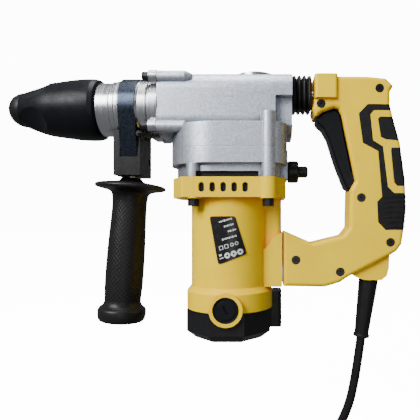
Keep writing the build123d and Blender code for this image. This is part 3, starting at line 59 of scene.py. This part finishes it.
MM = 0.001
BARREL_Z = 0.052
MOTOR_X = -0.140
FLOOR_Z = -0.292
CORD_D = 0.0085
COIL_CENTRE = (-0.105, -0.05975)
COIL_RADII = (0.05975, 0.05125, 0.04275, 0.03425)
ROW_1_Z = -0.28655
ROW_2_Z = ROW_1_Z + CORD_D
COIL_TURNS = 8.5
COIL_STEPS = 14           # points in each turn
SIDE_LEAN = math.radians(4.15)
SIDE_TOP = Vector((-0.2326, 0, 0))


# ---------------------------------------------------------------- camera and cord
def camera():
    """Camera square to the near side, level with the lower part of the housing."""
    data = bpy.data.cameras.new("camera")
    data.sensor_width = 36
    data.lens = 37.7
    data.shift_x = -0.143
    data.shift_y = 0.024
    obj = bpy.data.objects.new("camera", data)
    obj.location = (-0.102, -0.418, -0.052)
    obj.rotation_euler = (math.radians(90), 0, 0)
    bpy.context.collection.objects.link(obj)
    bpy.context.scene.camera = obj


def coil_radius(turn):
    """Radius of the lead in the coil: inwards on the lower row, outwards on the upper."""
    order = COIL_RADII + COIL_RADII[::-1] + COIL_RADII[:1]
    column = int(turn)
    part = turn - column
    if column in (3, 8):
        return order[column]
    if column < 4:
        step = max(0, (part - 0.8) / 0.2)
        return order[column] + (order[column + 1] - order[column]) * step
    step = min(1, part / 0.2) if column > 4 else 1
    return order[column - 1] + (order[column] - order[column - 1]) * step


def coil_points():
    """Eight and a half turns, with at least a dozen points in each."""
    points = []
    for i in range(1, int(COIL_TURNS * COIL_STEPS) + 1):
        turn = i / COIL_STEPS
        angle = math.radians(90) + 2 * math.pi * turn
        rise = min(1, max(0, (turn - 3.8) / 0.4))
        radius = coil_radius(turn)
        points.append((COIL_CENTRE[0] + radius * math.cos(angle), COIL_CENTRE[1] + radius * math.sin(angle),
                       ROW_1_Z + CORD_D * rise))
    return points


LEAD = [(-0.0156, 0, -0.1622), (-0.0204, 0, -0.199), (-0.0285, 0, -0.234), (-0.046, 0.002, -0.264),
        (-0.070, 0.007, -0.2815), (-0.094, 0.0085, ROW_1_Z)]
TAIL = [(-0.085, -0.1203, ROW_2_Z - 0.0005), (-0.064, -0.1231, ROW_2_Z - 0.0022),
        (-0.044, -0.1251, FLOOR_Z + 0.011)]


def cord():
    """The mains lead, from the boot through the coil to the plug."""
    curve = bpy.data.curves.new("mains_lead", "CURVE")
    curve.dimensions = "3D"
    spline = curve.splines.new("NURBS")
    route = LEAD + coil_points() + TAIL
    spline.points.add(len(route) - 1)
    for point, place in zip(spline.points, route):
        point.co = (*place, 1)
        point.radius = CORD_D / 2
    spline.order_u = 3
    spline.use_endpoint_u = True
    spline.resolution_u = 6
    curve.bevel_depth = 1
    curve.bevel_resolution = 5
    curve.use_fill_caps = True
    obj = bpy.data.objects.new("mains_lead", curve)
    bpy.context.collection.objects.link(obj)
    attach(obj, "rear_handle")
    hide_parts("cord_tube", "cord_coil")
    return obj


# ---------------------------------------------------------------- materials
class Surface:
    """Small helper that wires one procedural material on object coordinates."""

    def __init__(self, name, color, rough, metal=0.0, edge=0.4):
        self.mat = bpy.data.materials.new(name)
        self.mat.use_nodes = True
        self.tree = self.mat.node_tree
        self.shader = self.tree.nodes["Principled BSDF"]
        self.shader.inputs["Metallic"].default_value = metal
        self.coords = self.node("ShaderNodeTexCoord").outputs["Object"]
        self.color = color
        self.rough = rough
        self.normal = None
        if edge:
            bevel = self.node("ShaderNodeBevel", samples=4)
            bevel.inputs["Radius"].default_value = edge * MM
            self.normal = bevel.outputs["Normal"]

    def node(self, kind, **values):
        made = self.tree.nodes.new(kind)
        for name, value in values.items():
            setattr(made, name, value)
        return made

    def link(self, a, b):
        self.tree.links.new(a, b)

    def noise(self, size, detail=2.0, stretch=(1, 1, 1)):
        """Noise whose blobs are about size millimetres."""
        mapping = self.node("ShaderNodeMapping")
        mapping.inputs["Scale"].default_value = stretch
        self.link(self.coords, mapping.inputs["Vector"])
        made = self.node("ShaderNodeTexNoise")
        made.inputs["Scale"].default_value = 1 / (size * MM)
        made.inputs["Detail"].default_value = detail
        self.link(mapping.outputs["Vector"], made.inputs["Vector"])
        return made.outputs["Fac"]

    def mottle(self, fac, spread=0.08, other=None):
        """Colour that drifts between two near shades."""
        mix = self.node("ShaderNodeMix", data_type="RGBA")
        low = other or [c * (1 - spread) for c in self.color]
        high = [min(1, c * (1 + spread)) for c in self.color]
        mix.inputs[6].default_value = (*low, 1)
        mix.inputs[7].default_value = (*high, 1)
        self.link(self.ramp(fac, 0.3, 0.7), mix.inputs[0])
        self.link(mix.outputs[2], self.shader.inputs["Base Color"])

    def paint_corner_shade(self, reach, shade):
        """Painted shade: colour multiplied by a darker tint in corners within reach millimetres, masked by
        ambient occlusion.
        """
        base = self.shader.inputs["Base Color"].links[0].from_socket
        # ambient occlusion mask that places the painted shade in corners
        near = self.node("ShaderNodeAmbientOcclusion", samples=6)
        near.inputs["Distance"].default_value = reach * MM
        mix = self.node("ShaderNodeMix", data_type="RGBA", blend_type="MULTIPLY")
        mix.inputs[7].default_value = (*shade, 1)
        self.link(base, mix.inputs[6])
        self.link(self.ramp(near.outputs["AO"], 0.95, 0.35), mix.inputs[0])
        self.link(mix.outputs[2], self.shader.inputs["Base Color"])

    def ramp(self, fac, low, high, to_low=0.0, to_high=1.0):
        """A value moved from one range to another."""
        made = self.node("ShaderNodeMapRange")
        for name, value in (("From Min", low), ("From Max", high), ("To Min", to_low), ("To Max", to_high)):
            made.inputs[name].default_value = value
        self.link(fac, made.inputs["Value"])
        return made.outputs["Result"]

    def sheen(self, fac, spread=0.08):
        """Roughness that drifts either side of the surface's own."""
        varied = self.ramp(fac, 0.3, 0.7, self.rough - spread, self.rough + spread)
        self.link(varied, self.shader.inputs["Roughness"])

    def bump(self, fac, height, strength=1.0):
        """Relief of that many millimetres."""
        made = self.node("ShaderNodeBump")
        made.inputs["Distance"].default_value = height * MM
        made.inputs["Strength"].default_value = strength
        self.link(fac, made.inputs["Height"])
        if self.normal:
            self.link(self.normal, made.inputs["Normal"])
        self.normal = made.outputs["Normal"]

    def done(self):
        if self.normal:
            self.link(self.normal, self.shader.inputs["Normal"])
        return self.mat


def moulded(name, color, rough, grain=0.35, height=0.02, edge=0.5, shine=0.25, shade=None):
    """Injection-moulded plastic with a fine spark-eroded grain, and painted shade in corners when a shade
    colour is given.
    """
    s = Surface(name, color, rough, edge=edge)
    s.mottle(s.noise(30, 3), 0.05)
    s.sheen(s.noise(6, 4), 0.06)
    s.bump(s.noise(grain, 2), height)
    s.bump(s.noise(14, 1), 0.05, 0.6)
    # optional painted shade in corners, in the given darker colour
    if shade:
        s.paint_corner_shade(9, shade)
    s.shader.inputs["Specular IOR Level"].default_value = shine
    return s.done()


def sand_cast(name, color, rough):
    """Die casting with a shot-blasted skin, and painted shade in its corners."""
    s = Surface(name, color, rough, metal=0.75, edge=0.8)
    s.mottle(s.noise(2.2, 4), 0.16)
    # painted shade: grey-blue darkening in the corners and recesses of the casting
    s.paint_corner_shade(10, (0.35, 0.37, 0.42))
    s.sheen(s.noise(2.5, 4), 0.10)
    s.bump(s.noise(0.9, 3), 0.14)
    s.bump(s.noise(12, 2), 0.25, 0.6)
    return s.done()


def lathe_turned(name, color, rough, metal=1.0, axis=0, pitch=1.5):
    """Turned metal: fine rings square to one axis."""
    s = Surface(name, color, rough, metal=metal, edge=0)
    stretch = [0.02, 0.02, 0.02]
    stretch[axis] = 1
    rings = s.noise(pitch, 1, stretch)
    s.mottle(s.noise(7, 3), 0.05)
    s.sheen(rings, 0.05)
    s.bump(rings, 0.002)
    return s.done()


def metal(name, color, rough, height=0.015, size=0.6, spread=0.1, level=1.0):
    """Bare or blackened metal with fine scuffs."""
    s = Surface(name, color, rough, metal=level, edge=0.25)
    s.mottle(s.noise(5, 4), spread)
    s.sheen(s.noise(1.6, 3), 0.09)
    s.bump(s.noise(size, 2), height)
    return s.done()


def laminated(name, color, rough):
    """Stacked sheets, seen as thin lines along the motor's axis."""
    s = Surface(name, color, rough, metal=0.8, edge=0.2)
    wave = s.node("ShaderNodeTexWave", bands_direction="Z")
    wave.inputs["Scale"].default_value = 300
    s.link(s.coords, wave.inputs["Vector"])
    s.mottle(wave.outputs["Fac"], 0.25)
    s.sheen(s.noise(4, 3), 0.08)
    s.bump(wave.outputs["Fac"], 0.1)
    return s.done()


def wound(name, color, rough):
    """Enamelled wire lying side by side."""
    s = Surface(name, color, rough, metal=0.85, edge=0.3)
    wave = s.node("ShaderNodeTexWave", bands_direction="DIAGONAL")
    wave.inputs["Scale"].default_value = 260
    wave.inputs["Distortion"].default_value = 1.2
    s.link(s.coords, wave.inputs["Vector"])
    s.mottle(wave.outputs["Fac"], 0.3)
    s.sheen(s.noise(3, 3), 0.06)
    s.bump(wave.outputs["Fac"], 0.2)
    return s.done()


def soft_touch(name, color, rough, pitch=1.6):
    """Overmould with small raised lozenges."""
    s = Surface(name, color, rough, edge=0.3)
    voronoi = s.node("ShaderNodeTexVoronoi", feature="DISTANCE_TO_EDGE")
    voronoi.inputs["Scale"].default_value = 1 / (pitch * MM)
    voronoi.inputs["Randomness"].default_value = 0.12
    s.link(s.coords, voronoi.inputs["Vector"])
    cells = s.ramp(voronoi.outputs["Distance"], 0.0, 0.18)
    s.mottle(s.noise(8, 3), 0.18)
    s.sheen(s.noise(3, 3), 0.08)
    s.bump(cells, 0.10)
    s.shader.inputs["Specular IOR Level"].default_value = 0.2
    return s.done()


LOOKS = {
    # the yellow plastic gets an orange painted shade in its corners
    "yellow_plastic": moulded("yellow_plastic", (1.0, 0.66, 0.0), 0.34, shine=0.2, shade=(0.9, 0.55, 0.3)),
    "black_plastic": moulded("black_plastic", (0.009, 0.009, 0.010), 0.40, height=0.02),
    "black_satin": moulded("black_satin", (0.006, 0.007, 0.009), 0.38, height=0.004, shine=0.14),
    "soft_grip": soft_touch("soft_grip", (0.009, 0.009, 0.010), 0.60),
    "cast_aluminium": sand_cast("cast_aluminium", (0.50, 0.54, 0.61), 0.42),
    "turned_aluminium": lathe_turned("turned_aluminium", (0.60, 0.615, 0.65), 0.27),
    "band_steel": metal("band_steel", (0.042, 0.052, 0.074), 0.32, spread=0.12, height=0.004),
    "black_steel": metal("black_steel", (0.025, 0.025, 0.028), 0.36, level=0.7),
    "bright_steel": metal("bright_steel", (0.60, 0.61, 0.63), 0.24),
    "gear_steel": metal("gear_steel", (0.34, 0.34, 0.35), 0.28),
    "lamination_steel": laminated("lamination_steel", (0.25, 0.26, 0.28), 0.45),
    "copper": wound("copper", (0.62, 0.24, 0.09), 0.34),
    "brass": metal("brass", (0.70, 0.50, 0.20), 0.28),
    "carbon": moulded("carbon", (0.03, 0.03, 0.03), 0.6),
    "black_rubber": moulded("black_rubber", (0.007, 0.007, 0.008), 0.45, height=0.02),
    "label_black": moulded("label_black", (0.012, 0.012, 0.013), 0.25, height=0.004),
    "cord_rubber": moulded("cord_rubber", (0.008, 0.008, 0.009), 0.36, height=0.01, edge=0),
    "seal_rubber": moulded("seal_rubber", (0.045, 0.02, 0.012), 0.5),
    "label_ink": moulded("label_ink", (0.72, 0.73, 0.74), 0.4, height=0.002, edge=0),
}


def dress_nodes():
    """Gives every CAD node the look of its material slot."""
    for row in frame["record"]["subparts"]:
        obj = NODES[row["node"]]
        obj.data.materials.clear()
        obj.data.materials.append(LOOKS[row["material_slot"]])


# ---------------------------------------------------------------- mesh helpers
def piece_from(name, verts, faces, body, look, smooth=True):
    """A mesh piece with one material, which rides on a body unless that is None."""
    mesh = bpy.data.meshes.new(name)
    mesh.from_pydata([tuple(v) for v in verts], [], faces)
    mesh.validate()
    work = bmesh.new()
    work.from_mesh(mesh)
    bmesh.ops.recalc_face_normals(work, faces=work.faces)
    work.to_mesh(mesh)
    work.free()
    if smooth:
        mesh.shade_smooth()
    mesh.materials.append(LOOKS[look])
    obj = bpy.data.objects.new(name, mesh)
    bpy.context.collection.objects.link(obj)
    if body:
        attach(obj, body)
    return obj


def ring_faces(rings, around, first=0, closed=True):
    """Quads between successive rings of points, and a cap on each end."""
    faces = []
    for i in range(rings - 1):
        for j in range(around):
            a = first + i * around + j
            b = first + i * around + (j + 1) % around
            faces.append((a, b, b + around, a + around))
    if closed:
        faces.append(tuple(first + j for j in range(around))[::-1])
        faces.append(tuple(first + (rings - 1) * around + j for j in range(around)))
    return faces


def sweep(path, radius, around=12):
    """Points and faces of a round bar along a list of places."""
    verts = []
    last = None
    for i, place in enumerate(path):
        ahead = path[min(i + 1, len(path) - 1)] - path[max(i - 1, 0)]
        ahead.normalize()
        side = last - ahead * last.dot(ahead) if last else ahead.orthogonal()
        side.normalize()
        last = side
        up = ahead.cross(side)
        for j in range(around):
            angle = 2 * math.pi * j / around
            verts.append(place + (side * math.cos(angle) + up * math.sin(angle)) * radius)
    return verts, ring_faces(len(path), around)


# ---------------------------------------------------------------- side grip
GRIP_OUTLINE = [(4.0, -12.0), (9.6, -12.0), (10.6, -15.6), (22.0, -16.8), (31.2, -18.4), (32.6, -20.6),
                (31.2, -22.8), (22.0, -24.4), (17.8, -26.0), (16.4, -29.0), (15.8, -34.0), (15.7, -42.0),
                (16.2, -56.0), (17.0, -74.0), (17.4, -92.0), (17.4, -112.0), (16.8, -124.0), (16.4, -129.0),
                (18.2, -132.8), (21.4, -134.8), (22.1, -137.6), (22.0, -142.0), (21.0, -145.8),
                (19.4, -146.8)]
GRIP_STEP = 0.42          # mm between rings of the mesh
GRIP_AROUND = 168
DIAMONDS_AROUND = 28
DIAMOND_RISE = 4.2        # mm of height for each diamond
DIAMOND_HEIGHT = 0.42


def smooth_profile(outline, step):
    """Points along an outline, with rounded corners and even spacing."""
    rounded = outline
    for _ in range(2):
        cut = [rounded[0]]
        for (x0, y0), (x1, y1) in zip(rounded, rounded[1:]):
            cut.append((x0 * 0.75 + x1 * 0.25, y0 * 0.75 + y1 * 0.25))
            cut.append((x0 * 0.25 + x1 * 0.75, y0 * 0.25 + y1 * 0.75))
        cut.append(rounded[-1])
        rounded = cut
    made = [rounded[0]]
    for (x0, y0), (x1, y1) in zip(rounded, rounded[1:]):
        count = max(1, round(math.hypot(x1 - x0, y1 - y0) / step))
        made += [(x0 + (x1 - x0) * k / count, y0 + (y1 - y0) * k / count) for k in range(1, count + 1)]
    return made


def diamond(angle, height):
    """Relief of the grip's diamond texture, 0 in the grooves and 1 on the tops."""
    along = height / DIAMOND_RISE
    round_about = DIAMONDS_AROUND * angle / (2 * math.pi)
    first = abs((round_about + along) % 1 - 0.5)
    second = abs((round_about - along) % 1 - 0.5)
    groove = 0.5 - max(first, second)
    return min(1, groove / 0.16)


def side_grip_skin():
    """The side grip, turned from its outline, with the diamond texture on the handle."""
    direction = Vector((math.sin(SIDE_LEAN), 0, math.cos(SIDE_LEAN)))
    across = Vector((math.cos(SIDE_LEAN), 0, -math.sin(SIDE_LEAN)))
    away = Vector((0, 1, 0))
    profile = smooth_profile(GRIP_OUTLINE, GRIP_STEP)
    verts = []
    for radius, height in profile:
        fade = min(1, max(0, (-31 - height) / 3)) * min(1, max(0, (height + 130) / 3))
        for j in range(GRIP_AROUND):
            angle = 2 * math.pi * j / GRIP_AROUND
            r = radius - (1 - diamond(angle, height)) * DIAMOND_HEIGHT * fade
            verts.append(SIDE_TOP + direction * (height * MM / math.cos(SIDE_LEAN))
                         + (across * math.cos(angle) + away * math.sin(angle)) * (r * MM))
    faces = ring_faces(len(profile), GRIP_AROUND)
    skin = piece_from("side_grip_skin", verts, faces, "side_handle", "black_plastic")
    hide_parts("side_grip")


# ---------------------------------------------------------------- bellows
def rounded_section(half_y, half_z, corner, count):
    """Points of a rounded rectangle round the origin, y and z."""
    points = []
    for quarter, (sy, sz) in enumerate(((1, 1), (-1, 1), (-1, -1), (1, -1))):
        for k in range(count):
            angle = math.radians(90) * (quarter + k / (count - 1))
            points.append((sy * (half_y - corner) + corner * math.cos(angle),
                           sz * (half_z - corner) + corner * math.sin(angle)))
    return points


def bellows_skin():
    """Rubber bellows with round ribs, stretched between the housing and the handle."""
    low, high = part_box("bellows")
    x0, x1 = low[0], high[0]
    middle_z = (low[2] + high[2]) / 2
    ribs = 4
    steps = 72
    verts = []
    around = 40
    for outside in (True, False):
        order = range(steps + 1) if outside else range(steps, -1, -1)
        for i in order:
            share = i / steps
            wave = abs(math.sin(math.pi * ribs * share)) ** 0.7
            proud = (0.0145 + 0.0028 * wave) if outside else (0.0125 + 0.0022 * wave)
            for y, z in rounded_section(proud, proud - 0.001, 0.009, 10):
                verts.append((x0 + (x1 - x0) * share, y, middle_z + z))
    rings = 2 * (steps + 1)
    faces = ring_faces(rings, around, closed=False)
    last = (rings - 1) * around
    faces += [(last + j, last + (j + 1) % around, (j + 1) % around, j) for j in range(around)]
    skin = piece_from("bellows_skin", verts, faces, None, "black_rubber")
    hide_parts("bellows")
    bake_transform(skin)


# ---------------------------------------------------------------- sleeve spring
def spring_skin():
    """Coil spring of four turns round the barrel axis."""
    start, rise, radius, turns, per_turn = -315.1, 5.5, 15.3, 4, 40
    path = []
    for k in range(turns * per_turn + 1):
        angle = 2 * math.pi * k / per_turn
        path.append(Vector(((start + rise * k / per_turn) * MM, radius * MM * math.cos(angle),
                            BARREL_Z + radius * MM * math.sin(angle))))
    verts, faces = sweep(path, 0.8 * MM, 10)
    skin = piece_from("spring_skin", verts, faces, None, "bright_steel")
    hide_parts("sleeve_spring")
    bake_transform(skin)


# ---------------------------------------------------------------- rating plate marks
PLATE_CORNER = Vector((-147.0, -90.8))
PLATE_ACROSS = Vector((math.cos(math.radians(16)), math.sin(math.radians(16))))
PLATE_UP = Vector((-0.213, 0.977))
MARK_RADIUS = 36.72
MARK_THICK = 0.06


def on_motor(flat, lift):
    """The place on the motor's near side over a flat point (x, z), in metres."""
    radius = MARK_RADIUS + lift
    x = flat[0] * MM - MOTOR_X
    return Vector((flat[0] * MM, -math.sqrt((radius * MM) ** 2 - x * x), flat[1] * MM))


def add_bar(verts, faces, across, up, width, height):
    """One flat printed bar, bent round the motor."""
    cuts = max(2, int(width / 1.2) + 1)
    first = len(verts)
    for k in range(cuts):
        for lift in (0.0, MARK_THICK):
            for side in (-1, 1):
                flat = (PLATE_CORNER + PLATE_ACROSS * (across + width * k / (cuts - 1))
                        + PLATE_UP * (up + side * height / 2))
                verts.append(on_motor(flat, lift))
    for k in range(cuts - 1):
        a = first + 4 * k
        faces += [(a, a + 1, a + 5, a + 4), (a + 2, a + 6, a + 7, a + 3), (a, a + 4, a + 6, a + 2),
                  (a + 1, a + 3, a + 7, a + 5)]
    end = first + 4 * (cuts - 1)
    faces += [(first, first + 2, first + 3, first + 1), (end, end + 1, end + 3, end + 2)]


def add_disc(verts, faces, across, up, outer, inner):
    """One printed ring, bent round the motor."""
    count = 28
    first = len(verts)
    for lift in (0.0, MARK_THICK):
        for radius in (inner, outer):
            for k in range(count):
                angle = 2 * math.pi * k / count
                flat = (PLATE_CORNER + PLATE_ACROSS * (across + radius * math.cos(angle))
                        + PLATE_UP * (up + radius * math.sin(angle)))
                verts.append(on_motor(flat, lift))
    for k in range(count):
        n = (k + 1) % count
        low_in, low_out, top_in, top_out = (first + count * ring for ring in range(4))
        faces += [(low_in + k, low_in + n, low_out + n, low_out + k),
                  (top_in + k, top_out + k, top_out + n, top_in + n),
                  (low_out + k, low_out + n, top_out + n, top_out + k),
                  (low_in + k, top_in + k, top_in + n, low_in + n)]


def plate_marks():
    """Rows of small bars and rings in place of print."""
    verts, faces = [], []
    rows = ((35.5, 8.5, 8), (30.5, 12.0, 6), (25.5, 14.5, 5), (20.0, 8.0, 9))
    for up, start, count in rows:
        at = start
        for k in range(count):
            width = 0.75 + 0.5 * ((k * 7 + int(up)) % 3) / 2
            add_bar(verts, faces, at, up, width, 1.7 - 0.5 * ((k + int(up)) % 2))
            at += width + 0.5
    for across in (5.6, 10.4):
        for edge in (-1.5, 1.5):
            add_bar(verts, faces, across - 1.8, 13.4 + edge, 3.6, 0.5)
        add_bar(verts, faces, across - 1.8, 13.4, 0.6, 3.0)
        add_bar(verts, faces, across + 1.2, 13.4, 0.6, 3.0)
    for across in (15.4, 19.6):
        add_disc(verts, faces, across, 13.6, 1.6, 1.0)
    for across in (9.4, 15.2, 21.0):
        add_disc(verts, faces, across, 5.6, 2.6, 0.9)
    add_bar(verts, faces, 2.4, 4.6, 3.4, 0.9)
    add_bar(verts, faces, 2.4, 7.4, 2.6, 1.6)
    marks = piece_from("plate_marks", verts, faces, "machine", "label_ink", smooth=False)


# ---------------------------------------------------------------- rear handle ribs
RIBS = 7
RIB_TOP_Z = -30.5
RIB_PITCH = 4.6
RIB_HALF_W = 16.5
RIB_CORNER = 4.0
RIB_RADIUS = 0.55


def grip_ribs():
    """Raised ribs round the back of the lower pad."""
    verts, faces = [], []
    for k in range(RIBS):
        z = RIB_TOP_Z - RIB_PITCH * k
        back = 22.95 - max(0, -40 - z) * 0.075
        front = 2.5 + max(0, k - 4) * 2.2
        path = [Vector((front, -RIB_HALF_W, z)), Vector((front + 4, -RIB_HALF_W, z))]
        for n in range(9):
            angle = math.radians(11.25 * n)
            path.append(Vector((back - RIB_CORNER + RIB_CORNER * math.sin(angle),
                                -RIB_HALF_W + RIB_CORNER - RIB_CORNER * math.cos(angle), z)))
        path += [Vector((p.x, -p.y, p.z)) for p in reversed(path)]
        bar, sides = sweep([p * MM for p in path], RIB_RADIUS * MM, 10)
        faces += [tuple(i + len(verts) for i in face) for face in sides]
        verts += bar
    ribs = piece_from("grip_ribs", verts, faces, "rear_handle", "soft_grip")


# ---------------------------------------------------------------- small fittings
def clamp_screw():
    """Hex screw that pinches the strap on the block."""
    verts, faces = [], []
    x, z = -0.2208, 0.0262
    for radius, sides, y0, y1 in ((3.1, 24, -18.7, -19.5), (2.5, 6, -19.5, -22.4), (1.2, 16, -22.4, -24.6)):
        first = len(verts)
        for y in (y0, y1):
            for k in range(sides):
                angle = 2 * math.pi * k / sides
                verts.append((x + radius * MM * math.cos(angle), y * MM, z + radius * MM * math.sin(angle)))
        faces += ring_faces(2, sides, first)
    piece = piece_from("clamp_screw", verts, faces, "side_clamp", "black_steel", smooth=False)


def dark_slot_strips():
    """Thin black strips set in the air slots of the crankcase, and a second pair behind the motor's vents."""
    verts, faces = [], []
    strips = ((-0.1659, -0.1121, -0.0145, -0.0095, 0.0321, 0.0335),
              (-0.1640, -0.1185, -0.0280, -0.0185, 0.0368, 0.0376))
    for side, (x0, x1, z0, z1, near, far) in ((a, b) for a in (-1, 1) for b in strips):
        y0, y1 = side * near, side * far
        first = len(verts)
        verts += [(x, y, z) for y in (y0, y1) for x, z in ((x0, z0), (x1, z0), (x1, z1), (x0, z1))]
        faces += ring_faces(2, 4, first)
    piece = piece_from("dark_slot_strips", verts, faces, "machine", "black_rubber", smooth=False)


# ---------------------------------------------------------------- studio
def area_light(name, place, target, size, power):
    """A soft white panel that faces a target."""
    data = bpy.data.lights.new(name, "AREA")
    data.shape = "RECTANGLE"
    data.size, data.size_y = size
    data.energy = power
    obj = bpy.data.objects.new(name, data)
    obj.location = place
    obj.rotation_euler = (Vector(target) - Vector(place)).to_track_quat("-Z", "Y").to_euler()
    bpy.context.collection.objects.link(obj)


def studio():
    """White floor and surroundings, which look brighter than the light they give, and three soft panels."""
    mesh = bpy.data.meshes.new("floor")
    half = 8.0
    corners = [(-half, -half, FLOOR_Z), (half, -half, FLOOR_Z), (half, half, FLOOR_Z), (-half, half, FLOOR_Z)]
    mesh.from_pydata(corners, [], [(0, 1, 2, 3)])
    floor = bpy.data.objects.new("floor", mesh)
    bpy.context.collection.objects.link(floor)
    pale = Surface("pale_floor", (0.96, 0.96, 0.96), 0.7, edge=0)
    pale.mottle(pale.noise(160, 2), 0.01)
    pale.shader.inputs["Emission Color"].default_value = (1, 1, 1, 1)
    pale.shader.inputs["Emission Strength"].default_value = 14
    mesh.materials.append(pale.done())
    floor.visible_diffuse = False
    floor.visible_glossy = False
    world = bpy.data.worlds.new("studio")
    bpy.context.scene.world = world
    world.use_nodes = True
    tree = world.node_tree
    soft = tree.nodes["Background"]
    soft.inputs["Color"].default_value = (1, 1, 1, 1)
    soft.inputs["Strength"].default_value = 0.2
    seen = tree.nodes.new("ShaderNodeBackground")
    seen.inputs["Strength"].default_value = 16
    path = tree.nodes.new("ShaderNodeLightPath")
    mix = tree.nodes.new("ShaderNodeMixShader")
    tree.links.new(path.outputs["Is Camera Ray"], mix.inputs[0])
    tree.links.new(soft.outputs[0], mix.inputs[1])
    tree.links.new(seen.outputs[0], mix.inputs[2])
    tree.links.new(mix.outputs[0], tree.nodes["World Output"].inputs["Surface"])
    area_light("key", (-0.95, -1.0, 0.75), (-0.18, 0, -0.02), (0.7, 0.8), 36)
    area_light("top", (-0.25, 0.0, 1.0), (-0.2, 0, 0), (0.9, 0.4), 10)
    area_light("front", (0.1, -1.5, -0.1), (-0.15, 0, -0.05), (0.5, 0.8), 3)


camera()
LEAD_PIECE = cord()
LEAD_PIECE.data.materials.append(LOOKS["cord_rubber"])
dress_nodes()
side_grip_skin()
bellows_skin()
spring_skin()
plate_marks()
grip_ribs()
clamp_screw()
dark_slot_strips()
studio()
